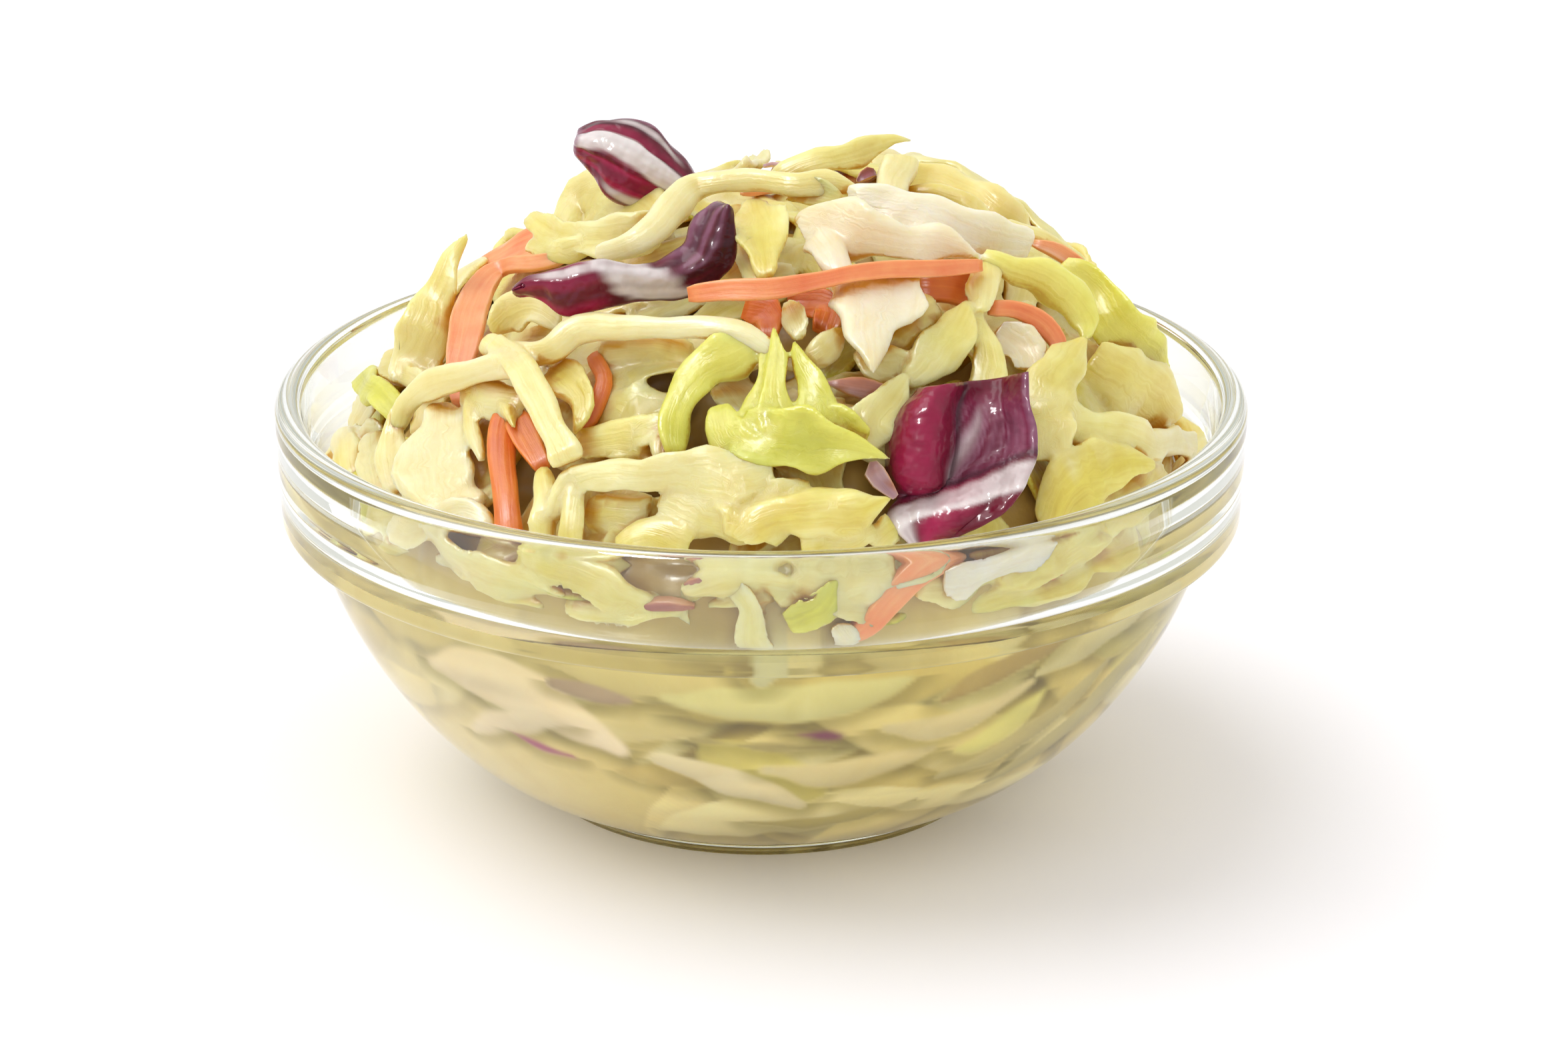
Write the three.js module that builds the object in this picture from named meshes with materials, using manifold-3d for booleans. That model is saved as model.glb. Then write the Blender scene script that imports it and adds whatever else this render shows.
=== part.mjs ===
// Coleslaw heaped in a small clear glass bowl: shreds of white cabbage, red cabbage and carrot
// held together by a creamy dressing. Millimetres, +Z up. The origin is the centre of the
// bowl's foot, +X is to the right and -Y is the front.

import * as THREE from 'three';
import { mergeVertices } from 'three/addons/utils/BufferGeometryUtils.js';
import Module from 'manifold-3d';

const wasm = await Module();
wasm.setup();

// Glass bowl: a pressed prep bowl with a stacking band under its rim.
const RIM_RADIUS = 60;
const BOWL_HEIGHT = 51;
const BEAD_RADIUS = 1.65; // half the thickness of the rounded rim
const BAND_BOTTOM = 35.8; // height of the stacking ledge
const BAND_TAPER = 0.4; // how much narrower the band is at its lower edge
const BAND_CORNER = 1.1;
const BODY_RADIUS = 55.7; // outside of the bowl just under the band
const BODY_FLOOR_RADIUS = 23.3; // where the outer curve turns flat
const BODY_FLOOR = 0.8;
const FOOT_RADIUS = 28.5;
const FOOT_RING = 3.8; // width of the ring that the bowl stands on
const FOOT_EDGE = 0.5;
const WELL_TOP = 36.4; // height where the inner curve meets the thicker band
const WELL_RADIUS = 53.1;
const WELL_FLOOR_RADIUS = 21;
const WELL_FLOOR = 4.2;
const COLLAR_RADIUS = 55.2; // inside of the band, a little above the well
const COLLAR_HEIGHT = 40;
const ROUNDNESS = 1.07; // shape of the bowl's curve, outwards
const FULLNESS = 1.42; // and upwards
const BOWL_SIDES = 48;

// Heap of slaw above the rim, as the smooth skin that the shreds lie on.
const HEAP_TOP = 74;
const HEAP_RADIUS = 52; // where the heap meets the dressing inside the rim
const HEAP_EDGE = 44.2;
const FRONT_BULGE = 3.5; // the heap leans this much further out at the front than at the sides
const FRONT_RISE = 1.5;
const RIGHT_LEAN = 0.126; // the right shoulder is fuller than the left one
const HEAP_SHOULDER = 3; // how flat the top is before the sides fall away
const CROWN = 2.4; // the slaw is packed this much higher than its skin where most shreds stand out
const CROWN_PLACE = -22;
const CROWN_REACH = 26;
const CORE_SIDES = 32;
const CORE_RINGS = 21;

// Fits.
const GAP = 0.3; // air between the slaw and the glass, and round the red cabbage leaves
const SINK = 0.35; // how far a shred settles into what it lies on, so that they fuse
const SAG = 0.22; // droop of a shred between two sections where nothing holds it up

// ---------------------------------------------------------------- solids

/** Joins equal corners and drops triangles that have collapsed, so that the mesh is closed. */
function weld(geometry) {
  const bare = new THREE.BufferGeometry();
  bare.setAttribute('position', geometry.getAttribute('position'));
  if (geometry.index) bare.setIndex(geometry.index);
  const merged = mergeVertices(bare, 1e-3);
  const index = merged.index.array;
  const kept = [];
  for (let i = 0; i < index.length; i += 3) {
    const [p, q, r] = [index[i], index[i + 1], index[i + 2]];
    if (p !== q && q !== r && r !== p) kept.push(p, q, r);
  }
  merged.setIndex(kept);
  return merged;
}

function toSolid(geometry) {
  const welded = weld(geometry);
  return new wasm.Manifold(new wasm.Mesh({
    numProp: 3,
    vertProperties: new Float32Array(welded.getAttribute('position').array),
    triVerts: new Uint32Array(welded.index.array),
  }));
}

function toGeometry(solid) {
  const mesh = solid.getMesh();
  const geometry = new THREE.BufferGeometry();
  geometry.setAttribute('position', new THREE.BufferAttribute(mesh.vertProperties.slice(), 3));
  geometry.setIndex(new THREE.BufferAttribute(mesh.triVerts.slice(), 1));
  return geometry;
}

/** Keeps the largest shell of a mesh: loose scraps go, and sealed hollows are filled. */
function largestShell(geometry) {
  const index = geometry.index.array;
  const leader = Array.from({ length: geometry.getAttribute('position').count }, (_, i) => i);
  const find = (i) => {
    while (leader[i] !== i) {
      leader[i] = leader[leader[i]];
      i = leader[i];
    }
    return i;
  };
  for (let i = 0; i < index.length; i += 3) {
    leader[find(index[i])] = find(index[i + 1]);
    leader[find(index[i + 1])] = find(index[i + 2]);
  }
  const shells = new Map();
  for (let i = 0; i < index.length; i += 3) {
    const shell = find(index[i]);
    if (!shells.has(shell)) shells.set(shell, []);
    shells.get(shell).push(index[i], index[i + 1], index[i + 2]);
  }
  const largest = [...shells.values()].reduce((best, shell) => (shell.length > best.length ? shell : best));
  geometry.setIndex(largest);
  return weld(geometry);
}

function lathe(profile, sides) {
  const geometry = new THREE.LatheGeometry(profile.map(([r, z]) => new THREE.Vector2(r, z)), sides);
  geometry.rotateX(Math.PI / 2);
  return geometry;
}

// ---------------------------------------------------------------- glass bowl

/** A quarter of the bowl's curve, from its top (t = 0) to the floor (t = 1). */
function bowlCurve(t, topRadius, top, floorRadius, floor) {
  const angle = (t * Math.PI) / 2;
  const r = floorRadius + (topRadius - floorRadius) * Math.cos(angle) ** ROUNDNESS;
  const z = floor + (top - floor) * (1 - Math.sin(angle) ** FULLNESS);
  return [r, z];
}

/** Half section of the bowl, from the axis under the foot, over the rim and back to the axis.
 *  Grow makes it larger all round, for cutting room for the bowl out of its contents. */
function bowlProfile(grow = 0) {
  const ring = FOOT_RADIUS - FOOT_RING;
  const rimCentre = [RIM_RADIUS - BEAD_RADIUS, BOWL_HEIGHT - BEAD_RADIUS];
  const bead = BEAD_RADIUS + grow;
  const profile = [
    [0, BODY_FLOOR - grow],
    [ring - BODY_FLOOR, BODY_FLOOR - grow],
    [ring, -grow],
    [FOOT_RADIUS - FOOT_EDGE, -grow],
    [FOOT_RADIUS + grow, FOOT_EDGE],
  ];
  for (const t of [0.885, 0.74, 0.6, 0.46, 0.33, 0.2, 0.09, 0]) {
    const [r, z] = bowlCurve(t, BODY_RADIUS, BAND_BOTTOM, BODY_FLOOR_RADIUS, BODY_FLOOR);
    profile.push([r + grow, z - grow]);
  }
  const bandRadius = RIM_RADIUS - BAND_TAPER + grow;
  profile.push([bandRadius - BAND_CORNER, BAND_BOTTOM - grow]);
  profile.push([bandRadius, BAND_BOTTOM + BAND_CORNER]);
  for (const angle of [0, 45, 90, 135, 180]) {
    const turn = THREE.MathUtils.degToRad(angle);
    profile.push([rimCentre[0] + bead * Math.cos(turn), rimCentre[1] + bead * Math.sin(turn)]);
  }
  profile.push([COLLAR_RADIUS - grow, COLLAR_HEIGHT + grow]);
  for (const t of [0, 0.09, 0.2, 0.33, 0.46, 0.6, 0.74, 0.87, 1]) {
    const [r, z] = bowlCurve(t, WELL_RADIUS, WELL_TOP, WELL_FLOOR_RADIUS, WELL_FLOOR);
    profile.push([r - grow, z + grow]);
  }
  profile.push([0, WELL_FLOOR - 0.2 + grow]);
  return profile;
}

// ---------------------------------------------------------------- heap

const heapHeight = (u) => Math.max(0, 1 - u ** HEAP_SHOULDER);

// Distance along the skin from the top, against the share of the heap's radius.
const skinArc = [0];
const ARC_STEPS = 200;
for (let i = 1; i <= ARC_STEPS; i++) {
  const rise = (heapHeight((i - 1) / ARC_STEPS) - heapHeight(i / ARC_STEPS)) * (HEAP_TOP - HEAP_EDGE);
  skinArc.push(skinArc[i - 1] + Math.hypot(HEAP_RADIUS / ARC_STEPS, rise));
}
const SKIN_LENGTH = skinArc[ARC_STEPS];

function radiusShare(distance) {
  let i = 1;
  while (i < ARC_STEPS && skinArc[i] < distance) i++;
  return Math.min(1, (i - 1 + (distance - skinArc[i - 1]) / (skinArc[i] - skinArc[i - 1])) / ARC_STEPS);
}

/** The skin is unrolled about its top: a point is a to the right and b to the back along it. */
function skinPoint(a, b) {
  const distance = Math.hypot(a, b);
  const azimuth = Math.atan2(b, a);
  const u = radiusShare(distance);
  const edge = HEAP_EDGE - FRONT_RISE * Math.sin(azimuth);
  const r = (HEAP_RADIUS - FRONT_BULGE * Math.sin(azimuth)) * u;
  const below = Math.max(0, distance - SKIN_LENGTH);
  const x = r * Math.cos(azimuth);
  const y = r * Math.sin(azimuth);
  const z = edge + (HEAP_TOP - edge) * heapHeight(u) + RIGHT_LEAN * x * (1 - u * u) - below;
  return new THREE.Vector3(x, y, z);
}

function skinNormal(a, b) {
  const step = 0.4;
  const alongA = skinPoint(a + step, b).sub(skinPoint(a - step, b));
  const alongB = skinPoint(a, b + step).sub(skinPoint(a, b - step));
  return alongA.cross(alongB).normalize();
}

function onSkin(a, b, level) {
  return skinPoint(a, b).addScaledVector(skinNormal(a, b), level);
}

/** Dressed body of the slaw: the lumpy skin above, and the inside of the bowl below. */
function slawCore() {
  const geometry = weld(new THREE.SphereGeometry(1, CORE_SIDES, CORE_RINGS));
  const position = geometry.getAttribute('position');
  const upperShare = 0.62;
  const point = new THREE.Vector3();
  for (let i = 0; i < position.count; i++) {
    point.fromBufferAttribute(position, i);
    const down = Math.acos(THREE.MathUtils.clamp(point.y, -1, 1)) / Math.PI;
    const azimuth = Math.atan2(-point.z, point.x);
    if (down < upperShare) {
      const distance = (down / upperShare) * SKIN_LENGTH;
      const a = distance * Math.cos(azimuth);
      const b = distance * Math.sin(azimuth);
      const lumps = Math.sin(a * 0.42 + b * 0.16) * Math.sin(b * 0.37 - a * 0.11);
      const fade = 1 - (distance / SKIN_LENGTH) ** 6;
      const crown = CROWN * Math.exp(-((a / CROWN_REACH) ** 2) - ((b - CROWN_PLACE) / CROWN_REACH) ** 2);
      point.copy(onSkin(a, b, (crown + 0.9 * lumps) * fade));
    } else {
      const t = (down - upperShare) / (1 - upperShare);
      const [r, z] = t >= 1 ? [0, WELL_FLOOR - 0.2] : bowlCurve(t, WELL_RADIUS, WELL_TOP, 0, WELL_FLOOR);
      point.set(r * Math.cos(azimuth), r * Math.sin(azimuth), z);
    }
    position.setXYZ(i, point.x, point.y, point.z);
  }
  return geometry;
}

// ---------------------------------------------------------------- closed sheets

/** Closed sheet over a grid: cornerAt(side, row, column) gives each corner of its upper (1) and
 *  under (-1) face. */
function closedSheet(rows, columns, cornerAt) {
  const corners = [];
  for (const side of [1, -1]) {
    for (let i = 0; i < rows; i++) {
      for (let c = 0; c < columns; c++) corners.push(cornerAt(side, i, c));
    }
  }
  const under = rows * columns;
  const index = [];
  const quad = (p, q, r, s) => index.push(p, q, r, p, r, s);
  for (let i = 0; i < rows - 1; i++) {
    for (let c = 0; c < columns - 1; c++) {
      const p = i * columns + c;
      quad(p, p + 1, p + columns + 1, p + columns);
      quad(under + p + columns, under + p + columns + 1, under + p + 1, under + p);
    }
    const left = i * columns;
    const right = left + columns - 1;
    quad(left, left + columns, under + left + columns, under + left);
    quad(right + columns, right, under + right, under + right + columns);
  }
  for (let c = 0; c < columns - 1; c++) {
    const last = (rows - 1) * columns + c;
    quad(c + 1, c, under + c, under + c + 1);
    quad(last, last + 1, under + last + 1, under + last);
  }
  const geometry = new THREE.BufferGeometry();
  const numbers = corners.flatMap((corner) => corner.toArray());
  geometry.setAttribute('position', new THREE.Float32BufferAttribute(numbers, 3));
  geometry.setIndex(index);
  return geometry;
}

// ---------------------------------------------------------------- shreds

const THICK = 1.8; // of a leaf with its coat of dressing
const SECTION_STEP = 6.5; // the length of shred from one set of corners to the next
const WIDE = 5; // shreds wider than this get a crown along their middle
const HELD = 0.06; // share of a shred that sinks into the heap under it
const FRONT = new THREE.Vector3(0, -0.93, 0.36);

// What the shreds laid so far reach to, above the skin, in cells of one millimetre.
const REACH = Math.ceil(SKIN_LENGTH) + 6;
const CELLS = 2 * REACH + 1;
const pile = new Float32Array(CELLS * CELLS);

function eachCell(a, b, radius, visit) {
  for (let i = Math.ceil(a - radius); i <= a + radius; i++) {
    for (let j = Math.ceil(b - radius); j <= b + radius; j++) {
      const inside = Math.abs(i) <= REACH && Math.abs(j) <= REACH;
      if (inside && Math.hypot(i - a, j - b) <= radius) visit((i + REACH) * CELLS + j + REACH);
    }
  }
}

function pileUnder(a, b, radius) {
  let support = 0;
  eachCell(a, b, Math.max(1, radius), (cell) => {
    support = Math.max(support, pile[cell]);
  });
  return support;
}

/** Marks what a shred covers. */
function markPile(sections) {
  for (const { a, b, level, half, depth } of sections) {
    eachCell(a, b, Math.max(1, half * 0.8), (cell) => {
      pile[cell] = Math.max(pile[cell], level + depth);
    });
  }
}

/** Where a cross-section is, which way it faces, and how far it reaches under its centre. */
function placed(section, before, after, facing) {
  const { a, b, level, half, thick } = section;
  const skyward = skinNormal(a, b);
  const flat = skyward.clone().lerp(FRONT, facing).normalize();
  const start = onSkin(before.a, before.b, before.level);
  const along = onSkin(after.a, after.b, after.level).sub(start).normalize();
  const across = along.clone().cross(flat).normalize();
  const up = across.clone().cross(along).normalize();
  const depth = half * Math.abs(across.dot(skyward)) + (thick / 2) * Math.abs(up.dot(skyward));
  return { ...section, centre: onSkin(a, b, level), across, up, depth };
}

/** Evenly spaced cross-sections of a shred along its path of [a, b, level, width]. Facing turns its
 *  flat side from the skin towards the front. */
function crossSections({ path, thick = THICK, facing = 0, ruffle = 0 }) {
  const curve = (points) => new THREE.CatmullRomCurve3(points, false, 'catmullrom');
  const route = curve(path.map(([a, b, level]) => new THREE.Vector3(a, b, level)));
  const widths = curve(path.map(([, , , width]) => new THREE.Vector3(width, 0, 0)));
  const steps = Math.max(3, Math.round(route.getLength() / SECTION_STEP));
  const sections = Array.from({ length: steps + 1 }, (_, i) => {
    const t = route.getUtoTmapping(i / steps);
    const { x: a, y: b, z: level } = route.getPoint(t);
    const half = Math.max(0.25, widths.getPoint(t).x / 2);
    return { a, b, level, half, thick, wave: ruffle * Math.sin(i * 2.1) };
  });
  const near = (i) => sections[THREE.MathUtils.clamp(i, 0, steps)];
  return sections.map((section, i) => placed(section, near(i - 1), near(i + 1), facing));
}

/** A shred draped over the heap: it lies on the high places and droops between them. */
function draped(shred) {
  const flat = crossSections(shred);
  const levels = flat.map(({ a, b, half, thick }) => pileUnder(a, b, half * 0.8) + thick / 2 - SINK);
  for (let pass = 1; pass < levels.length; pass++) {
    for (let i = 1; i < levels.length - 1; i++) {
      levels[i] = Math.max(levels[i], (levels[i - 1] + levels[i + 1]) / 2 - SAG);
    }
  }
  const path = flat.map(({ a, b, half }, i) => {
    const roof = ROOF_AT_EDGE + ROOF * (1 - (Math.hypot(a, b) / SKIN_LENGTH) ** 3);
    return [a, b, Math.min(levels[i], roof), half * 2];
  });
  return crossSections({ ...shred, path });
}

/** Closed strip through the cross-sections. */
function strip(sections) {
  const columns = Math.max(...sections.map(({ half }) => half * 2)) > WIDE ? 3 : 2;
  return closedSheet(sections.length, columns, (side, i, c) => {
    const { centre, across, up, half, thick, wave } = sections[i];
    const offset = (2 * c) / (columns - 1) - 1;
    const crown = columns > 2 ? 1 - 0.45 * offset ** 2 : 0.85;
    const rise = side * (thick / 2) * crown + wave * offset * Math.abs(offset);
    return centre.clone().addScaledVector(across, offset * half).addScaledVector(up, rise);
  });
}

// Shreds that lie all over the heap, spread like the seeds of a sunflower.
const SCATTERED = 46;
const SHOWN_FROM = 4; // in front of this the shreds are the ones listed by name
const ROOF_AT_EDGE = 0.5; // how high they may pile over the skin beside the glass
const ROOF = 4.5; // and how much higher at the top
const GOLDEN_TURN = Math.PI * (3 - Math.sqrt(5));
const SHAPES = [[0.8, 1, 0.9], [0.3, 1, 0.8], [0.9, 1, 0.4], [0.15, 1, 1]]; // shares of the full width
const share = (i, ratio) => (i * ratio) % 1;

function scatteredShred(i) {
  const distance = (SKIN_LENGTH - 7) * Math.sqrt((i + 0.5) / SCATTERED);
  const azimuth = i * GOLDEN_TURN;
  const heading = share(i, 0.7549) * Math.PI;
  const reach = 12 * (0.7 + 0.9 * share(i, 0.5698));
  const bow = 7 * (share(i, 0.3547) - 0.5);
  const width = 4 * (1 + 0.95 * share(i, 0.4656));
  const [a, b] = [distance * Math.cos(azimuth), distance * Math.sin(azimuth)];
  const [towards, aside] = [Math.cos(heading), Math.sin(heading)];
  const path = [-1, 0, 1].map((end) => {
    const swing = bow * (1 - end * end);
    const p = [a + end * reach * towards - swing * aside, b + end * reach * aside + swing * towards];
    const within = Math.min(1, (SKIN_LENGTH - 3) / Math.hypot(...p));
    return [p[0] * within, p[1] * within, 0, width * SHAPES[i % 4][end + 1]];
  });
  return { path, thick: 2, ruffle: 0.5 };
}

// Shreds that stand out by name on the shown side, the lower ones of each place first. A path is
// [a, b, level, width]: a place on the unrolled skin, how far over it, and the width of leaf there.
const shownShreds = [
  // left shoulder
  { thick: 2.2, facing: 0.8, path: [
    [-25, 5, 1.5, 4], [-22, 8, 3, 8], [-16, -2, 4, 8.5], [-12, -10, 4, 5.5]] },
  { thick: 1.9, facing: 0.8, path: [
    [-22, -10, 2, 1.5], [-31, -4, 2, 2], [-34, -12, 2, 4], [-36, -19, 2, 4], [-37, -29, 0.5, 2.5]] },
  { thick: 2.4, facing: 0.9, path: [
    [-32, -6, 8, 0.5], [-34, -8, 7, 2.5], [-38, -10, 5.5, 4.5], [-44, -14, 2, 6.5], [-46, -16, 1, 5]] },
  { thick: 2.6, facing: 0.9, path: [
    [-54, -2, 2.5, 3.5], [-50, -16, 2.5, 3.5], [-48, -23, 1, 3]] },
  { thick: 3, facing: 0.8, path: [
    [-59, -10, 1.5, 3.5], [-58, -19, 1.5, 4], [-58, -24, 0.5, 3.5]] },
  { thick: 2.2, facing: 0.8, path: [
    [-54, -18, 0.5, 2.5], [-52, -28, 1, 5], [-51, -35, 0.5, 4.5]] },
  { thick: 2.2, facing: 0.9, path: [
    [-39, -28, 2.5, 3], [-40, -32, 3, 7], [-40, -38, 3, 9.5], [-40, -42, 2.5, 9], [-40, -47, 1.5, 7]] },
  { thick: 2.4, facing: 0.9, path: [
    [-31, -22, 3, 2], [-28, -22, 3.5, 4.5], [-24, -23, 4, 5], [-22, -26, 3.5, 2.5]] },
  { thick: 2, facing: 0.9, path: [
    [-36, -30, 2.5, 3], [-32, -34, 3, 5], [-27, -36, 3, 4.5]] },
  { thick: 1.9, facing: 0.9, path: [
    [-30, -34, 2, 2.5], [-31, -38, 2.5, 3.5], [-32, -43, 2.5, 3], [-32, -48, 2.5, 3], [-32, -52, 2, 3.5]] },
  { thick: 2.6, facing: 1, path: [
    [-46, -26, 2.5, 2], [-43, -26, 4, 3], [-38, -28, 5, 3.5], [-28, -32, 6, 3.5], [-26, -34, 6, 3]] },
  { thick: 2.6, facing: 1, path: [
    [-29, -28, 5.5, 2.5], [-26, -34, 6.5, 3.5], [-24, -40, 6, 3.5], [-23, -44, 5.5, 3.5],
    [-22, -48, 5, 4.5]] },
  { thick: 2.8, facing: 1, path: [
    [-31, -26, 4.5, 2.5], [-22, -32, 5.5, 3], [-14, -32, 6, 3], [-4, -35, 6, 2.5], [2, -38, 4.5, 2.5]] },
  // summit
  { thick: 2.2, facing: 1, path: [
    [0, -14, 6, 3], [0, -20, 6, 6], [0, -24, 5.5, 4.5], [1, -28, 5, 2.5]] },
  { thick: 2.8, facing: 1, path: [
    [-17, -20, 6, 2.5], [-11, -20, 7, 3.5], [-6, -12, 8, 3.5], [4, -14, 7.5, 3], [12, -14, 6, 0.5]] },
  { thick: 2.4, facing: 1, path: [
    [2, -10, 6.5, 2], [6, -10, 7.5, 3], [10, -8, 8, 4], [15, -4, 9, 1.5], [17, -4, 9, 0.5]] },
  { thick: 3.4, facing: 1, path: [
    [14, -15, 5, 4], [14, -12, 6.5, 4], [16, -10, 7.5, 4.5], [16, -8, 8, 3.5]] },
  { thick: 2.4, facing: 1, path: [
    [10, -16, 5.5, 4], [14, -17, 6, 4.5], [18, -18, 6, 5], [28, -16, 5, 5], [30, -15, 4.5, 4]] },
  { thick: 2.6, facing: 1, path: [
    [4, -20, 6.5, 2], [7, -22, 7, 6.5], [10, -24, 7, 5.5], [19, -22, 6.5, 4], [24, -22, 6, 0.5]] },
  { thick: 2.4, facing: 1, path: [
    [12, -28, 6, 10], [12, -31, 6, 11], [12, -34, 6.5, 7.5], [12, -38, 6.5, 4], [12, -41, 6.5, 0.5]] },
  { thick: 2.2, facing: 1, path: [
    [-7, -30, 6.5, 2], [1, -32, 7, 2.5], [10, -30, 8, 2], [14, -28, 8, 2], [23, -24, 7, 1.5]] },
  // right shoulder
  { thick: 2.2, facing: 0.9, path: [
    [26, -12, 4, 1.5], [28, -12, 4.5, 2.5], [33, -10, 4.5, 2.5], [38, -8, 4, 1.5]] },
  { thick: 2, facing: 0.9, path: [
    [30, -13, 4.5, 1], [34, -12, 5, 2], [37, -12, 5, 2], [41, -12, 4.5, 2], [46, -11, 3.5, 0.5]] },
  { thick: 2.6, facing: 1, path: [
    [24, -22, 6.5, 2], [26, -22, 6.5, 3], [30, -22, 6.5, 4], [37, -22, 5.5, 3.5], [37, -24, 5, 0.5]] },
  { thick: 2.6, facing: 1, path: [
    [34, -14, 4.5, 3], [38, -16, 5, 5], [42, -18, 5, 7], [47, -16, 4, 6], [53, -11, 3, 2.5]] },
  { thick: 2.4, facing: 0.9, path: [
    [40, -24, 2.5, 5.5], [46, -22, 3, 8.5], [50, -20, 2.5, 8], [56, -17, 1.5, 4]] },
  { thick: 2, facing: 1, path: [
    [24, -22, 6, 3.5], [24, -26, 6, 4], [24, -29, 5.5, 2.5]] },
  { thick: 2, facing: 1, path: [
    [25, -28, 4.5, 2], [28, -26, 5, 2], [32, -26, 5, 2.5], [34, -28, 4.5, 2], [34, -30, 4, 1]] },
  { thick: 2.2, facing: 1, path: [
    [22, -28, 5, 0.5], [22, -31, 4.5, 4.5], [20, -35, 4, 5.5], [18, -38, 3.5, 4], [16, -40, 3, 1.5]] },
  { thick: 2.4, facing: 1, path: [
    [36, -26, 6.5, 0.5], [34, -30, 6, 5], [33, -34, 5, 7], [33, -38, 4, 7.5], [34, -42, 3, 7]] },
  { thick: 2.4, facing: 0.9, path: [
    [33, -40, 4, 5.5], [38, -36, 4.5, 5], [46, -32, 4, 4], [54, -24, 3, 4], [62, -10, 1.5, 3.5]] },
  { thick: 2.4, facing: 0.9, path: [
    [54, -27, 1.5, 5], [50, -36, 1.5, 5.5], [44, -44, 1, 4.5]] },
  { thick: 2.4, facing: 1, path: [
    [37, -49, 2, 4.5], [37, -46, 3.5, 7.5], [40, -42, 4, 7.5], [46, -36, 4, 4.5], [50, -32, 4, 1]] },
  // front
  { thick: 2.6, facing: 1, path: [
    [0, -36, 5, 3], [-4, -38, 5, 5], [-6, -40, 4.5, 4.5], [-10, -46, 3.5, 3.5], [-10, -48, 3, 3]] },
  { thick: 2.6, facing: 1, path: [
    [-2, -46, 4.5, 6], [2, -48, 5, 7.5], [6, -49, 5.5, 6], [11, -50, 6, 3], [14, -50, 6, 0.5]] },
  { thick: 2.2, facing: 1, path: [
    [2, -47, 5, 4.5], [2, -42, 5.5, 3.5], [2, -39, 6, 2.5], [2, -36, 6.5, 0.5]] },
  { thick: 2.2, facing: 1, path: [
    [7, -47, 5, 4.5], [6, -44, 5.5, 4], [4, -40, 6, 2.5], [4, -38, 6.5, 0.5]] },
  { thick: 2, facing: 1, path: [
    [16, -39, 4, 1.5], [14, -42, 4, 4], [12, -45, 3.5, 5.5], [14, -47, 3, 4.5]] },
  { thick: 2.4, facing: 1, path: [
    [-25, -52, 2.5, 2.5], [-18, -50, 4, 3.5], [-14, -51, 4.5, 4.5], [-8, -52, 4.5, 5.5], [2, -51, 4, 4.5]] },
  { thick: 2.4, facing: 0.9, path: [
    [-12, -52, 2.5, 4.5], [-8, -55, 3, 7], [-4, -56, 3, 7], [2, -56, 3, 4.5]] },
  { thick: 2.4, facing: 1, path: [
    [-2, -58, 3.5, 4.5], [2, -56, 4, 4.5], [6, -56, 4.5, 5.5], [11, -56, 4.5, 4.5], [16, -54, 5, 0.5]] },
];

// ---------------------------------------------------------------- red cabbage

// Whole bits of red cabbage leaf, each between two edges of [right, up] on a plane that faces the
// front, from a place of [a, b, level]. Relief is how far it stands out at a share across and along.
const RIGHT = new THREE.Vector3(1, 0, 0);
const UPWARD = new THREE.Vector3(0, 0.36, 0.93);
const arch = (x) => Math.sin(Math.PI * THREE.MathUtils.clamp(x, 0, 1));
const ease = THREE.MathUtils.smoothstep;

const redLeaves = [
  {
    name: 'red_cabbage_cap', place: [-13.5, -3, 8.2], thick: 1.6,
    upper: [[-7, 3.5], [-5, 4.5], [-2, 5.5], [1.5, 5], [4, 3], [6.5, 0], [7.5, -2.5]],
    lower: [[-7, 2.5], [-6, 0.5], [-4.5, -1], [-3, -3.5], [0, -4.5], [3, -5], [4.5, -4.5]],
    relief: (u, v) => 2.9 * arch(u) ** 0.8 - 1.6 * (2 * v - 1) ** 2,
  },
  {
    name: 'red_cabbage_ribbon', place: [-14, -25, 5.2], thick: 1.5,
    upper: [[-13, -1], [-10.5, 0.5], [-7, 1.5], [-2.5, 2.5], [2.5, 2], [6.5, 4.5], [7.5, 7], [9.5, 9],
      [11.5, 9.5]],
    lower: [[-13, -1.5], [-10, -1], [-7, -3], [-2.5, -3], [2.5, -2], [8, -1.5], [11.5, 1], [13, 3.5],
      [12, 8.5]],
    relief: (u, v) => 1.9 * arch(u) + 1.6 * Math.sin(2 * Math.PI * v) - 2 * ease(v, 0.7, 1) * (1 - u),
  },
  {
    name: 'red_cabbage_leaf', place: [23, -47.5, 3.6], thick: 1.6,
    upper: [[-4.5, 8.5], [-7, 5.5], [-8, 2], [-8, -1.5], [-7, -4], [-8, -5.5], [-8, -7], [-5.5, -9.5]],
    lower: [[8, 10.5], [8, 7], [9, 4], [9, 1], [8, -1.5], [7, -3.5], [4, -6.5], [-3, -9.5]],
    relief: (u, v) => 3.8 * arch(u / 0.4) ** 0.7 * (1 - ease(v, 0.5, 0.66))
      - 2.2 * arch((u - 0.4) / 0.6) * (1 - ease(v + 0.25 * u, 0.6, 0.85))
      + 2.6 * arch((v + 0.2 * u - 0.62) / 0.5) - 1.5 * (1 - ease(v, 0, 0.2)) + 1.2 * ease(u, 0.75, 1),
  },
];
const LEAF_ROWS = 9;
const LEAF_COLUMNS = 6;

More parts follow.
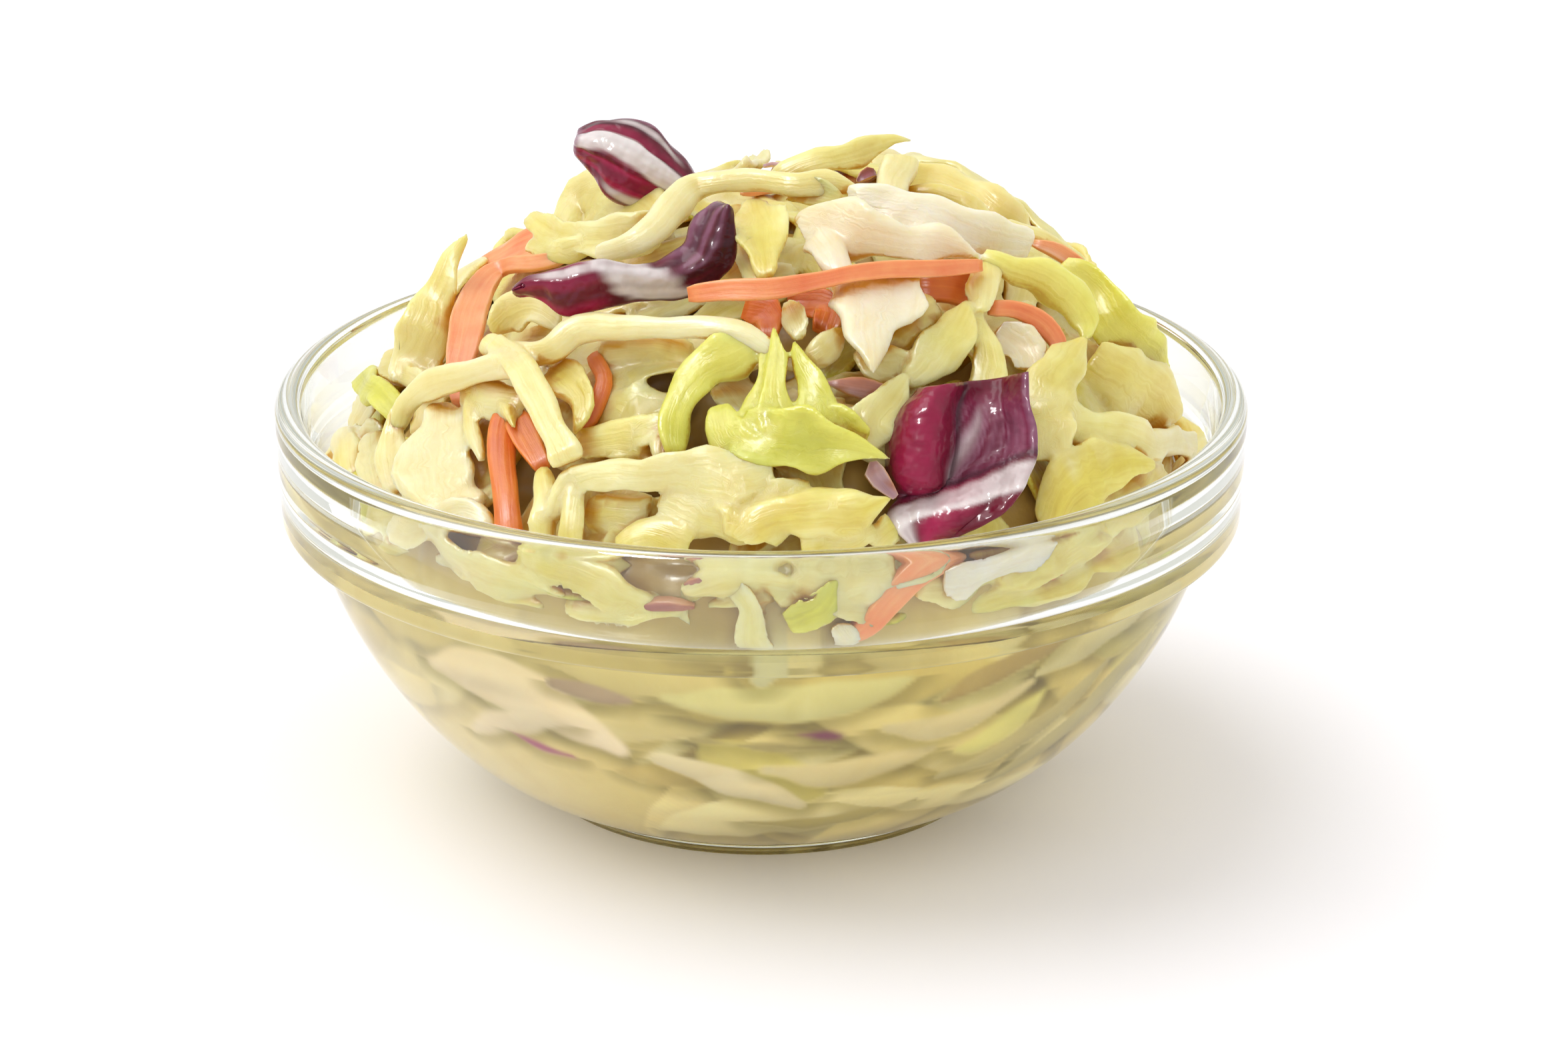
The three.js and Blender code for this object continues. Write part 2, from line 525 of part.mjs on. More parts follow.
/** The leaf as a closed sheet, larger all round by grow for cutting room for it out of the heap. */
function leafSheet({ place: [a, b, level], thick, upper, lower, relief }, grow = 0) {
  const origin = onSkin(a, b, level);
  const [first, second] = [upper, lower].map((edge) => {
    const points = edge.map(([right, up]) => new THREE.Vector3(right, up, 0));
    return new THREE.CatmullRomCurve3(points, false, 'catmullrom').getSpacedPoints(LEAF_ROWS - 1);
  });
  const middle = (i, c) => {
    const u = c / (LEAF_COLUMNS - 1);
    const flat = first[i].clone().lerp(second[i], u);
    const point = origin.clone().addScaledVector(RIGHT, flat.x).addScaledVector(UPWARD, flat.y);
    return point.addScaledVector(FRONT, relief(u, i / (LEAF_ROWS - 1)));
  };
  const outward = (k, count) => (k === count - 1 ? grow : 0) - (k === 0 ? grow : 0);
  return closedSheet(LEAF_ROWS, LEAF_COLUMNS, (side, i, c) => {
    const left = middle(i, Math.max(c - 1, 0));
    const across = middle(i, Math.min(c + 1, LEAF_COLUMNS - 1)).sub(left).normalize();
    const before = middle(Math.max(i - 1, 0), c);
    const along = middle(Math.min(i + 1, LEAF_ROWS - 1), c).sub(before).normalize();
    const normal = across.clone().cross(along).normalize();
    const corner = middle(i, c).addScaledVector(normal, side * (thick / 2 + grow));
    corner.addScaledVector(across, outward(c, LEAF_COLUMNS));
    return corner.addScaledVector(along, outward(i, LEAF_ROWS));
  });
}

// ---------------------------------------------------------------- assembly

let heap = toSolid(slawCore());

/** A shred lowered from its own level until enough of it sinks into the heap to hold. */
function settled(shred) {
  for (let drop = 0; ; drop += 0.4) {
    const path = shred.path.map(([a, b, level, width]) => [a, b, level - drop, width]);
    const solid = toSolid(strip(crossSections({ ...shred, path })));
    if (heap.intersect(solid).volume() > HELD * solid.volume()) return solid;
  }
}

for (let i = 0; i < SCATTERED; i++) {
  const shred = scatteredShred(i);
  if (shred.path[1][1] > SHOWN_FROM) {
    const sections = draped(shred);
    markPile(sections);
    heap = heap.add(toSolid(strip(sections)));
  }
}
for (const shred of shownShreds) heap = heap.add(settled(shred));
heap = heap.subtract(toSolid(lathe(bowlProfile(GAP), BOWL_SIDES)));
for (const leaf of redLeaves) {
  heap = heap.subtract(toSolid(leafSheet(leaf, GAP)));
  // Where its folds are tight the larger sheet closes up, so the leaf itself makes room there too.
  const solid = toSolid(leafSheet(leaf));
  for (const shift of [-GAP, 0, GAP]) {
    heap = heap.subtract(solid.translate(FRONT.clone().multiplyScalar(shift).toArray()));
  }
}

const glass = new THREE.MeshStandardMaterial({
  color: 0xe6ece8, roughness: 0.05, metalness: 0, transparent: true, opacity: 0.35,
});
const slaw = new THREE.MeshStandardMaterial({ color: 0xe6dca0, roughness: 0.45, metalness: 0 });
const redCabbage = new THREE.MeshStandardMaterial({ color: 0x6e1c42, roughness: 0.3, metalness: 0 });

const coleslaw = new THREE.Group();

function addPiece(name, geometry, material) {
  const mesh = new THREE.Mesh(geometry, material);
  mesh.name = name;
  coleslaw.add(mesh);
}

addPiece('bowl', weld(lathe(bowlProfile(), BOWL_SIDES)), glass);
addPiece('slaw', largestShell(toGeometry(heap)), slaw);
for (const leaf of redLeaves) addPiece(leaf.name, weld(leafSheet(leaf)), redCabbage);

export default coleslaw;
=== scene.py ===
# Coleslaw heaped in a small clear glass bowl. One section for each piece, in the order in which
# the dish is put together: the bowl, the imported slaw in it, the shreds on top, the red cabbage.
import math
import bmesh
import bpy
import numpy as np
from mathutils.bvhtree import BVHTree
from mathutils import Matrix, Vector, kdtree


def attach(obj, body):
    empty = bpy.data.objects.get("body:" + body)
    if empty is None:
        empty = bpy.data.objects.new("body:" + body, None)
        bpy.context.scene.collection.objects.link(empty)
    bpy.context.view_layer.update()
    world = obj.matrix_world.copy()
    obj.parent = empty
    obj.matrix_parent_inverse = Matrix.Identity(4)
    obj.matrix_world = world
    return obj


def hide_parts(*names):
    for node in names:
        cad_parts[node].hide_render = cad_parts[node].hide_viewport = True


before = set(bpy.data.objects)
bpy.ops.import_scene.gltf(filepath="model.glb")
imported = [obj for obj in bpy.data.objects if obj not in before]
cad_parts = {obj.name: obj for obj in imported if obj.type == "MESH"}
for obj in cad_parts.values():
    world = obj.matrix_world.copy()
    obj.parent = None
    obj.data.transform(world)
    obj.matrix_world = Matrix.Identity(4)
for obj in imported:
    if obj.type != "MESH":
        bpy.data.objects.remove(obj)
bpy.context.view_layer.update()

# ---------------------------------------------------------------- glass bowl
# A stacking prep bowl of pressed soda-lime glass: a rounded rim, a thick band that the next bowl
# rests on, a round body and a foot ring. It is one turned shell with a fine skin, since the light
# bends in it.

MM = 0.001  # sizes are in millimetres until a mesh is made
RIM_RADIUS = 60.0
BOWL_HEIGHT = 51.0
BEAD_RADIUS = 1.65
BAND_BOTTOM = 35.8
BAND_TAPER = 0.4
BAND_CORNER = 1.1
BAND_LEDGE = (0.3, 1.5)  # points of the band's flat underside, out from the body
BAND_FACE = [(RIM_RADIUS - BAND_TAPER + 0.13, 41.0), (RIM_RADIUS - 0.1, 45.5)]  # (radius, height)
BODY_RADIUS = 55.7
BODY_FLOOR_RADIUS = 23.3
BODY_FLOOR = 0.8
FOOT_RADIUS = 28.5
FOOT_RING = 3.8
FOOT_EDGE = 0.5  # rounding of the foot's outer edge
RING_EDGE = (0.35, 0.25)  # the small bevel of its inner edge
WELL_TOP = 36.4
WELL_RADIUS = 53.1
WELL_FLOOR_RADIUS = 21.0
WELL_FLOOR = 4.2
COLLAR = [(56.0, 45.0), (55.2, 40.0), (54.4, 38.1)]  # inside of the band, as (radius, height)
ROUNDNESS = 1.07  # these two powers set how full the body's curve is
FULLNESS = 1.42
BOWL_SIDES = 180
BOUNCES_TRACED = 4.5  # light that has met more faces than this passes through the glass unbent


def bowl_curve(t, top_radius, top, floor_radius, floor):
    """A quarter of the bowl's curve, from its top (t = 0) to the floor (t = 1)."""
    angle = t * math.pi / 2
    r = floor_radius + (top_radius - floor_radius) * math.cos(angle) ** ROUNDNESS
    z = floor + (top - floor) * (1 - math.sin(angle) ** FULLNESS)
    return r, z


def well_curve(shares):
    """The wall and floor inside the bowl, at some shares of the way down."""
    return [bowl_curve(t, WELL_RADIUS, WELL_TOP, WELL_FLOOR_RADIUS, WELL_FLOOR) for t in shares]


def round_corner(centre_r, centre_z, radius, start, end, count):
    """Points of a round corner of the profile, with its angles in degrees."""
    turns = np.radians(np.linspace(start, end, count))
    return [(centre_r + radius * math.cos(a), centre_z + radius * math.sin(a)) for a in turns]


def well_profile(steps):
    """Inside of the bowl, from just under the rim down to its floor."""
    under_rim = (RIM_RADIUS - 2 * BEAD_RADIUS, BOWL_HEIGHT - BEAD_RADIUS)
    return [under_rim] + COLLAR + well_curve(np.linspace(0, 1, steps))


def outer_profile():
    """Outside of the bowl, from the foot up and over the rim."""
    ring = FOOT_RADIUS - FOOT_RING
    band = RIM_RADIUS - BAND_TAPER
    points = [(ring - BODY_FLOOR, BODY_FLOOR), (ring - RING_EDGE[0], RING_EDGE[1]), (ring, 0.0)]
    points += round_corner(FOOT_RADIUS - FOOT_EDGE, FOOT_EDGE, FOOT_EDGE, -90, 0, 5)
    points += [bowl_curve(t, BODY_RADIUS, BAND_BOTTOM, BODY_FLOOR_RADIUS, BODY_FLOOR)
               for t in np.linspace(0.875, 0.01, 34)]
    points += [(BODY_RADIUS + out, BAND_BOTTOM) for out in BAND_LEDGE]
    points += round_corner(band - BAND_CORNER, BAND_BOTTOM + BAND_CORNER, BAND_CORNER, -90, 0, 7)
    points += BAND_FACE
    return points + round_corner(RIM_RADIUS - BEAD_RADIUS, BOWL_HEIGHT - BEAD_RADIUS, BEAD_RADIUS, 0, 180, 17)


def turned(profile, sides):
    """Corners and faces of a closed shell, turned about Z from a profile between two axis points."""
    rings = np.array(profile[1:-1])
    turn = np.linspace(0, 2 * math.pi, sides, endpoint=False)
    corners = np.stack([np.outer(rings[:, 0], np.cos(turn)), np.outer(rings[:, 0], np.sin(turn)),
                        np.repeat(rings[:, 1:2], sides, axis=1)], axis=-1).reshape(-1, 3)
    first, last = len(corners), len(corners) + 1
    corners = np.vstack([corners, [0, 0, profile[0][1]], [0, 0, profile[-1][1]]])
    top = (len(rings) - 1) * sides
    faces = []
    for i in range(sides):
        j = (i + 1) % sides
        faces.append((first, j, i))
        faces += [(k + i, k + j, k + sides + j, k + sides + i) for k in range(0, top, sides)]
        faces.append((last, top + i, top + j))
    return corners, faces


def make_mesh(name, corners, faces, material, values=None):
    """One smooth mesh object in metres from corners in millimetres, with named values at its corners."""
    mesh = bpy.data.meshes.new(name)
    mesh.from_pydata((np.asarray(corners) * MM).tolist(), [], faces)
    shell = bmesh.new()
    shell.from_mesh(mesh)
    bmesh.ops.recalc_face_normals(shell, faces=shell.faces)
    shell.to_mesh(mesh)
    shell.free()
    return finish_mesh(name, mesh, material, values)


def finish_mesh(name, mesh, material, values):
    """Smooth faces, a material, and values at the corners: a vector or a colour for each."""
    mesh.polygons.foreach_set("use_smooth", [True] * len(mesh.polygons))
    for key, numbers in (values or {}).items():
        kind, field = {3: ("FLOAT_VECTOR", "vector"), 4: ("FLOAT_COLOR", "color")}[numbers.shape[1]]
        layer = mesh.attributes.new(key, kind, "POINT")
        layer.data.foreach_set(field, numbers.astype(np.float32).ravel())
    mesh.materials.clear()
    mesh.materials.append(material)
    piece = bpy.data.objects.new(name, mesh)
    bpy.context.scene.collection.objects.link(piece)
    return piece


def node_adder(tree):
    """Empties a node tree, and gives a function that adds a node to it and sets or links its inputs."""
    tree.nodes.clear()

    def node(kind, inputs=None, **settings):
        made = tree.nodes.new(kind)
        for key, value in settings.items():
            setattr(made, key, value)
        for key, value in (inputs or {}).items():
            if isinstance(value, bpy.types.NodeSocket):
                tree.links.new(value, made.inputs[key])
            else:
                made.inputs[key].default_value = value
        return made

    return node


def new_material(name):
    """A node material with nothing in it, and the function that adds its nodes."""
    material = bpy.data.materials.new(name)
    material.use_nodes = True
    return material, node_adder(material.node_tree)


def srgb(red, green, blue):
    """A screen colour, 0 to 255, as the linear colour that shaders work in."""
    parts = [value / 255 for value in (red, green, blue)]
    return tuple(v / 12.92 if v <= 0.04045 else ((v + 0.055) / 1.055) ** 2.4 for v in parts) + (1.0,)


clear_glass, node = new_material("clear_glass")
shell = node("ShaderNodeBsdfPrincipled", {
    "Base Color": srgb(250, 253, 250), "Roughness": 0.0, "IOR": 1.5, "Transmission Weight": 1.0})
see_through = node("ShaderNodeBsdfTransparent", {"Color": srgb(252, 252, 251)})
deep = node("ShaderNodeBsdfTransparent", {"Color": srgb(236, 237, 228)})
path = node("ShaderNodeLightPath")
many_times = node("ShaderNodeMath", {0: path.outputs["Ray Depth"], 1: BOUNCES_TRACED},
                  operation="GREATER_THAN")
unbent = node("ShaderNodeMath", {0: path.outputs["Is Shadow Ray"], 1: path.outputs["Is Diffuse Ray"]},
              operation="MAXIMUM")
bright = node("ShaderNodeMixShader", {0: many_times.outputs[0], 1: shell.outputs[0], 2: deep.outputs[0]})
surface = node("ShaderNodeMixShader", {0: unbent.outputs[0], 1: bright.outputs[0], 2: see_through.outputs[0]})
green_cast = node("ShaderNodeVolumeAbsorption", {"Color": srgb(214, 222, 208), "Density": 6.0})
node("ShaderNodeOutputMaterial", {"Surface": surface.outputs[0], "Volume": green_cast.outputs[0]})

DISH = 0.2  # how much lower the inside's middle is than the end of its curve
bowl_section = [(0, BODY_FLOOR)] + outer_profile() + well_profile(30)[1:] + [(0, WELL_FLOOR - DISH)]
glass_corners, glass_faces = turned(bowl_section, BOWL_SIDES)
bowl = make_mesh("glass_bowl", glass_corners, glass_faces, clear_glass)
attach(bowl, "root")
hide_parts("bowl")

# ---------------------------------------------------------------- packed slaw
# Under the shreds that show, the slaw is a packed mass of cut cabbage in mayonnaise dressing. Where
# it meets the glass it is pressed flat, and the dressing wets the wall, so it reaches just into the
# glass; the shreds there show as soft patches with the dressing between them, each painted lighter on
# its upper side and with a painted shade under its lower edge.

HEAP_TOP = 74.0
HEAP_RADIUS = 52.0
HEAP_EDGE = 44.2
FRONT_BULGE = 3.5
FRONT_RISE = 1.5
RIGHT_LEAN = 0.126
HEAP_SHOULDER = 3.0  # the power of the heap's fall: more makes a flatter top and a steeper side
WETTING = 0.12
BODY_DEPTH = 2.6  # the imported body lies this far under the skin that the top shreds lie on
BODY_SIDES = 620
BODY_RINGS = 34
WALL_RINGS = 118
WAVES = 8
WAVE_SUM = 3.5  # brings the sum of the crossing waves back to about 1
CURVE_STEPS = 24


def heap_height(u):
    """Height of the heap over its edge, as a share, at a share of its radius."""
    return np.maximum(0, 1 - np.asarray(u) ** HEAP_SHOULDER)


# The way down the heap's skin from its top, against the share of the heap's radius.
arc_share = np.linspace(0, 1, 201)
arc_length = np.concatenate([[0], np.cumsum(np.hypot(
    np.diff(arc_share) * HEAP_RADIUS, np.diff(heap_height(arc_share)) * (HEAP_TOP - HEAP_EDGE)))])
SKIN_LENGTH = arc_length[-1]


def skin_point(a, b):
    """The heap's skin, unrolled about its top: a to the right and b to the back along it."""
    a, b = np.asarray(a, float), np.asarray(b, float)
    distance, azimuth = np.hypot(a, b), np.arctan2(b, a)
    u = np.interp(distance, arc_length, arc_share)
    edge = HEAP_EDGE - FRONT_RISE * np.sin(azimuth)
    r = (HEAP_RADIUS - FRONT_BULGE * np.sin(azimuth)) * u
    x, y = r * np.cos(azimuth), r * np.sin(azimuth)
    below = np.maximum(0, distance - SKIN_LENGTH)
    z = edge + (HEAP_TOP - edge) * heap_height(u) + RIGHT_LEAN * x * (1 - u * u) - below
    return np.stack([x, y, z], axis=-1)


def unit(vectors):
    """The vectors, each made one long."""
    return vectors / (np.linalg.norm(vectors, axis=-1, keepdims=True) + 1e-12)


def skin_normal(a, b):
    """The heap's outward normal, from the skin a little to each side."""
    step = 0.4
    along_a = skin_point(a + step, b) - skin_point(a - step, b)
    along_b = skin_point(a, b + step) - skin_point(a, b - step)
    return unit(np.cross(along_a, along_b))


def on_skin(a, b, level):
    """A place at a level above the heap's skin."""
    return skin_point(a, b) + skin_normal(a, b) * np.asarray(level)[..., None]


# Hollows between the shreds, as (a, b, radius, depth) on the unrolled skin.
hollows = [(-13, -38, 4.0, 6.0), (-8, -44, 3.0, 5.0), (2, -27, 5.0, 5.0), (-12, -52, 3.0, 3.5),
           (14, -38, 4.0, 4.5), (-31, -42, 3.0, 3.0)]


def hollow_depth(a, b):
    """How deep the hollows are at a place of the skin."""
    depth = np.zeros(np.shape(a))
    for at_a, at_b, radius, deep in hollows:
        depth = np.maximum(depth, deep * np.exp(-(((a - at_a) ** 2 + (b - at_b) ** 2) / radius ** 2)))
    return depth


def ripple(seed, *places):
    """Smooth lumps between about -1 and 1 from crossing waves, the same on each run."""
    draw = np.random.default_rng(seed)
    total = 0
    for _ in range(WAVES):
        heading = unit(draw.normal(size=len(places)))
        pitch, phase = draw.uniform(0.6, 1.6), draw.uniform(0, 6.3)
        total = total + np.sin(pitch * sum(h * p for h, p in zip(heading, places)) + phase)
    return total / WAVE_SUM


def lumps(high, size, seed, *places):
    """Ripples of a height and a size, both in millimetres."""
    return high * ripple(seed, *(place / size for place in places))


def body_grid():
    """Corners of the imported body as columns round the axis, from the heap's top to the bowl's floor."""
    turn = np.linspace(0, 2 * math.pi, BODY_SIDES, endpoint=False)[:, None]
    distance = np.linspace(0, SKIN_LENGTH, BODY_RINGS + 1)[1:][None, :]
    a, b = distance * np.cos(turn), distance * np.sin(turn)
    uneven = lumps(0.8, 3, 4, a, b) + lumps(0.35, 1.2, 5, a, b)
    above = on_skin(a, b, -BODY_DEPTH + uneven - hollow_depth(a, b))
    wall = np.array(well_curve(np.linspace(0, 1, WALL_RINGS + 1)[:-1]))
    radius, height = wall[:, 0] + WETTING, wall[:, 1] - WETTING
    height = np.broadcast_to(height, (BODY_SIDES, len(wall)))
    below = np.stack([radius * np.cos(turn), radius * np.sin(turn), height], axis=-1)
    return np.concatenate([above, below], axis=1)


def body_faces(columns, rows):
    """Faces of the closed body over its columns, with one corner at the summit and one at the floor."""
    summit, floor = columns * rows, columns * rows + 1
    faces = []
    for i in range(columns):
        here, there = i * rows, ((i + 1) % columns) * rows
        faces.append((summit, here, there))
        faces += [(here + k, here + k + 1, there + k + 1, there + k) for k in range(rows - 1)]
        faces.append((floor, there + rows - 1, here + rows - 1))
    return faces


def curve_through(points, count):
    """Evenly spaced places on a smooth curve; each is x, y, z and whatever else a point carries."""
    p = np.asarray(points, float)
    p = np.vstack([2 * p[0] - p[1], p, 2 * p[-1] - p[-2]])
    t = np.linspace(0, 1, CURVE_STEPS, endpoint=False)[:, None]
    pieces = []
    for i in range(1, len(p) - 2):
        before, start, end, after = p[i - 1:i + 3]
        pieces.append(0.5 * (2 * start + (end - before) * t
                             + (2 * before - 5 * start + 4 * end - after) * t ** 2
                             + (3 * start - before - 3 * end + after) * t ** 3))
    fine = np.vstack([*pieces, p[-2:-1]])
    run = np.concatenate([[0], np.cumsum(np.linalg.norm(np.diff(fine[:, :3], axis=0), axis=1))])
    at = np.linspace(0, run[-1], count)
    return np.stack([np.interp(at, run, fine[:, k]) for k in range(fine.shape[1])], axis=-1), run[-1]


# Colours of the dressing between the pressed shreds, of those shreds, of the milky haze over them on
# the left, and of the body under the heap's open skin, which is a painted shade for the gaps there.
CREAM = srgb(220, 198, 116)
press_tints = [srgb(242, 222, 148), srgb(230, 207, 120), srgb(245, 230, 168), srgb(214, 188, 98),
               srgb(226, 210, 112)]
HAZE = srgb(236, 220, 174)
GAP_SHADE = srgb(186, 154, 78)
SHADE_UNDER_SHRED = np.array([0.32, 0.34, 0.5])  # how much darker the painted shade under a pressed shred's lower edge is
LESS_LIGHT = np.array([0.19, 0.2, 0.38])  # darkening inside the band, which the light reaches least
SHADE_ON_RIGHT = np.array([0.03, 0.05, 0.17])  # and of the painted shade on the right, the side away from the lamp
HAZE_TURN = (-50, 24)  # the middle and the spread of each, in degrees round the wall from the front
SHADE_ON_RIGHT_TURN = (25, 32)
PATCHES = 140
PATCH_SPREAD = 1.15  # degrees round the wall for each millimetre of a patch's reach
PATCH_SEED, PRESSED_SEED = 200, 500
WALL_RADIUS, WALL_SLANT = 48, 1.15  # the wall unrolled: its mean radius, and its length for its height
PRESS_STATIONS = 48
PRESS_MARGIN = 2

# Shreds pressed against the glass at the front, and two patches of painted shade: a colour, and (turn,
# height, width) along each.
pressed = [
    (srgb(238, 228, 160), [(-12, 31, 2), (-6, 30.5, 5), (4, 30.5, 6.5), (13, 31.5, 5), (20, 33, 1)]),
    (srgb(238, 228, 136), [(29, 21, 2), (33, 21.5, 5), (37, 24, 5), (40, 27, 1.5)]),
    # Painted shade: the dressing in shadow on the right, where no shred touches the glass.
    (srgb(198, 184, 118), [(38, 13, 1), (46, 16, 4), (53, 20, 6), (59, 25, 5), (64, 29, 1)]),
    (srgb(208, 192, 126), [(28, 17, 1), (38, 19, 4), (46, 23, 4), (52, 28, 1)]),
    (srgb(246, 232, 176), [(38, 30, 2), (44, 32, 5), (52, 34, 6), (60, 35, 3)]),
    (srgb(248, 228, 190), [(-47, 29, 3), (-38, 29.5, 9), (-29, 27.5, 9), (-20, 22.5, 3)]),
    (srgb(198, 170, 140), [(-27, 31, 1.5), (-22, 30.5, 3.4), (-17, 30, 1.5)]),
    (srgb(240, 224, 176), [(-14, 21.5, 2.5), (-7, 19.5, 5), (0, 17, 5), (6, 14.5, 2)]),
    (srgb(234, 216, 158), [(1, 20.5, 2), (8, 19.5, 5), (16, 20, 5), (24, 22, 2)]),
    # Painted shade: a darker olive band across the middle of the wall.
    (srgb(182, 164, 98), [(-9, 25, 1), (0, 24.2, 1.8), (9, 23.8, 1)]),
    (srgb(240, 222, 170), [(17, 26, 2), (24, 25.2, 4.5), (31, 26.5, 4), (37, 29, 1.5)]),
    (srgb(240, 222, 184), [(-46, 20, 1.5), (-39, 23, 4), (-31, 25, 4), (-26, 25, 1)]),
    (srgb(196, 168, 96), [(24, 29, 1.5), (30, 31.5, 4), (36, 33, 3.5), (42, 34, 1)]),
    (srgb(186, 168, 90), [(-3, 11.2, 1), (4, 10.8, 2.5), (12, 11, 3), (20, 12, 2), (26, 13, 1)]),
    (srgb(172, 84, 116), [(-38, 22, 1.0), (-33, 20.5, 2.0), (-28, 20, 0.9)]),
    (srgb(140, 62, 96), [(5, 26, 1.0), (8, 25.7, 2.6), (10, 25.4, 1.8)]),
    (srgb(232, 226, 180), [(-1, 44, 3.5), (-1, 40, 3.8), (1, 36, 4), (0, 34, 3)]),
]


def ease(x, start, end):
    """Smooth step from 0 to 1."""
    t = np.clip((x - start) / (end - start), 0, 1)
    return t * t * (3 - 2 * t)


def line_at(x, place, width):
    """1 at a place and soft at both sides of it."""
    return np.exp(-(((x - place) / width) ** 2))


def press(colours, turn, height, rows, colour, seed):
    """Colours the wall's corners where a shred is pressed on them, soft at its edges; its upper side is
    painted lighter and a shade is painted under its lower edge.
    """
    draw = np.random.default_rng(seed)
    a_degree = math.radians(1) * WALL_RADIUS
    turn = (turn - rows[1][0] + 180) % 360 - 180 + rows[1][0]
    line, _ = curve_through([(t * a_degree, h * WALL_SLANT, 0, w) for t, h, w in rows], PRESS_STATIONS)
    x, y = turn * a_degree, height * WALL_SLANT
    reach = line[:, 3].max() / 2 + PRESS_MARGIN
    near = np.flatnonzero((x > line[:, 0].min() - reach) & (x < line[:, 0].max() + reach)
                          & (y > line[:, 1].min() - reach) & (y < line[:, 1].max() + reach))
    if not len(near):
        return
    along = x[near, None] - line[None, :, 0]
    aside = y[near, None] - line[None, :, 1]
    inside = line[None, :, 3] / 2 - np.hypot(along, aside)
    best = inside.argmax(axis=1)
    depth = inside[np.arange(len(near)), best] + lumps(0.35, 1.5, seed + 7, x[near], y[near])
    blur = draw.uniform(0.4, 1.2)
    cover = ease(depth, -0.3 * blur, 0.9 * blur)[:, None]
    across = np.take_along_axis(aside, best[:, None], axis=1)[:, 0]
    # Painted light: the shred's upper side lighter, and a thin painted shade at its edge, with its own random
    # tone and grain.
    light = 1 + 0.12 * np.tanh(across / 1.6) + draw.uniform(-0.08, 0.06)
    grain = 0.05 * ripple(seed + 3, x[near] / 6, y[near] / 0.7)
    light += grain - 0.1 * line_at(depth, 0, 0.8) * (across < 0.4)
    # Painted shade below the shred's lower edge.
    shade = ease(depth, -3.0, -0.1) * (1 - ease(depth, -0.1, 0.5 * blur)) * (across < 0)
    colours[near] *= 1 - shade[:, None] * SHADE_UNDER_SHRED
    colours[near] = colours[near] * (1 - cover) + np.array(colour[:3]) * light[:, None] * cover


grid = body_grid()
rows_down = grid.shape[1]
body_corners = np.vstack([grid.reshape(-1, 3), [0, 0, HEAP_TOP - BODY_DEPTH],
                          [0, 0, WELL_FLOOR - DISH - WETTING]])
turn = np.degrees(np.arctan2(body_corners[:, 0], -body_corners[:, 1]))
height = body_corners[:, 2]
mottle = np.append(lumps(0.5, 6, 61, *body_corners[:-2].T), [0, 0])
body_colours = np.array(CREAM[:3]) * (1 + 0.06 * mottle[:, None])
draw = np.random.default_rng(12)
for i in range(PATCHES):
    at_turn, at_height = draw.uniform(-180, 180), 6 + 36 * draw.uniform() ** 0.8
    slope, reach, width = draw.normal(0, 0.5), draw.uniform(7, 22), draw.uniform(3.5, 9.5)
    route = []
    for end in (-1, -0.4, 0.4, 1):
        bend = draw.normal(0, 1.0)
        route.append((at_turn + end * reach * PATCH_SPREAD, at_height + end * reach * slope + bend,
                      width * (1.1 - end * end)))
    tint = press_tints[draw.integers(len(press_tints))]
    press(body_colours, turn, height, route, tint, PATCH_SEED + i)
milky = 0.5 * line_at(turn, *HAZE_TURN)[:, None]
body_colours = body_colours * (1 - milky) + np.array(HAZE[:3]) * milky
for i, (colour, route) in enumerate(pressed):
    press(body_colours, turn, height, route, colour, PRESSED_SEED + i)
body_colours *= 1 - ease(height, 18, 34)[:, None] * LESS_LIGHT
# Painted shade on the right side of the wall, away from the lamp.
body_colours *= 1 - line_at(turn, *SHADE_ON_RIGHT_TURN)[:, None] * SHADE_ON_RIGHT
# The body under the heap shows only in the gaps between the shreds, and is coloured dark there as painted
# shade.
heap_part = np.repeat([[1.0] * BODY_RINGS + [0.0] * (rows_down - BODY_RINGS)], BODY_SIDES, axis=0).ravel()
heap_part = np.append(heap_part, [1.0, 0.0])[:, None]
body_colours = body_colours * (1 - heap_part) + np.array(GAP_SHADE[:3]) * heap_part


def soft_light(node, share, tint, pattern):
    """A tint with a share of a grey pattern in it, by the colour inputs of a Mix node."""
    made = node("ShaderNodeMix", {0: share, 6: tint, 7: pattern}, data_type="RGBA", blend_type="SOFT_LIGHT")
    return made.outputs[2]


def wet_mottle_group():
    """Node group that all the wet leaf shares: soft clouds in its tint, and a fine grain for a bump."""
    group = bpy.data.node_groups.new("wet_mottle", "ShaderNodeTree")
    for name in ("Tint", "Share", "Cloud Scale", "Cloud Detail", "Distortion", "Grain Scale"):
        kind = "NodeSocketColor" if name == "Tint" else "NodeSocketFloat"
        group.interface.new_socket(name, in_out="INPUT", socket_type=kind)
    for name in ("Tint", "Clouds", "Grain"):
        kind = "NodeSocketColor" if name == "Tint" else "NodeSocketFloat"
        group.interface.new_socket(name, in_out="OUTPUT", socket_type=kind)
    node = node_adder(group)
    given = node("NodeGroupInput").outputs
    place = node("ShaderNodeTexCoord").outputs["Object"]
    clouds = node("ShaderNodeTexNoise", {"Vector": place, "Scale": given["Cloud Scale"],
                                         "Detail": given["Cloud Detail"], "Distortion": given["Distortion"]})
    grain = node("ShaderNodeTexNoise", {"Vector": place, "Scale": given["Grain Scale"], "Detail": 2.0})
    cloudy = soft_light(node, given["Share"], given["Tint"], clouds.outputs["Fac"])
    node("NodeGroupOutput", {"Tint": cloudy, "Clouds": clouds.outputs["Fac"], "Grain": grain.outputs["Fac"]})
    return group


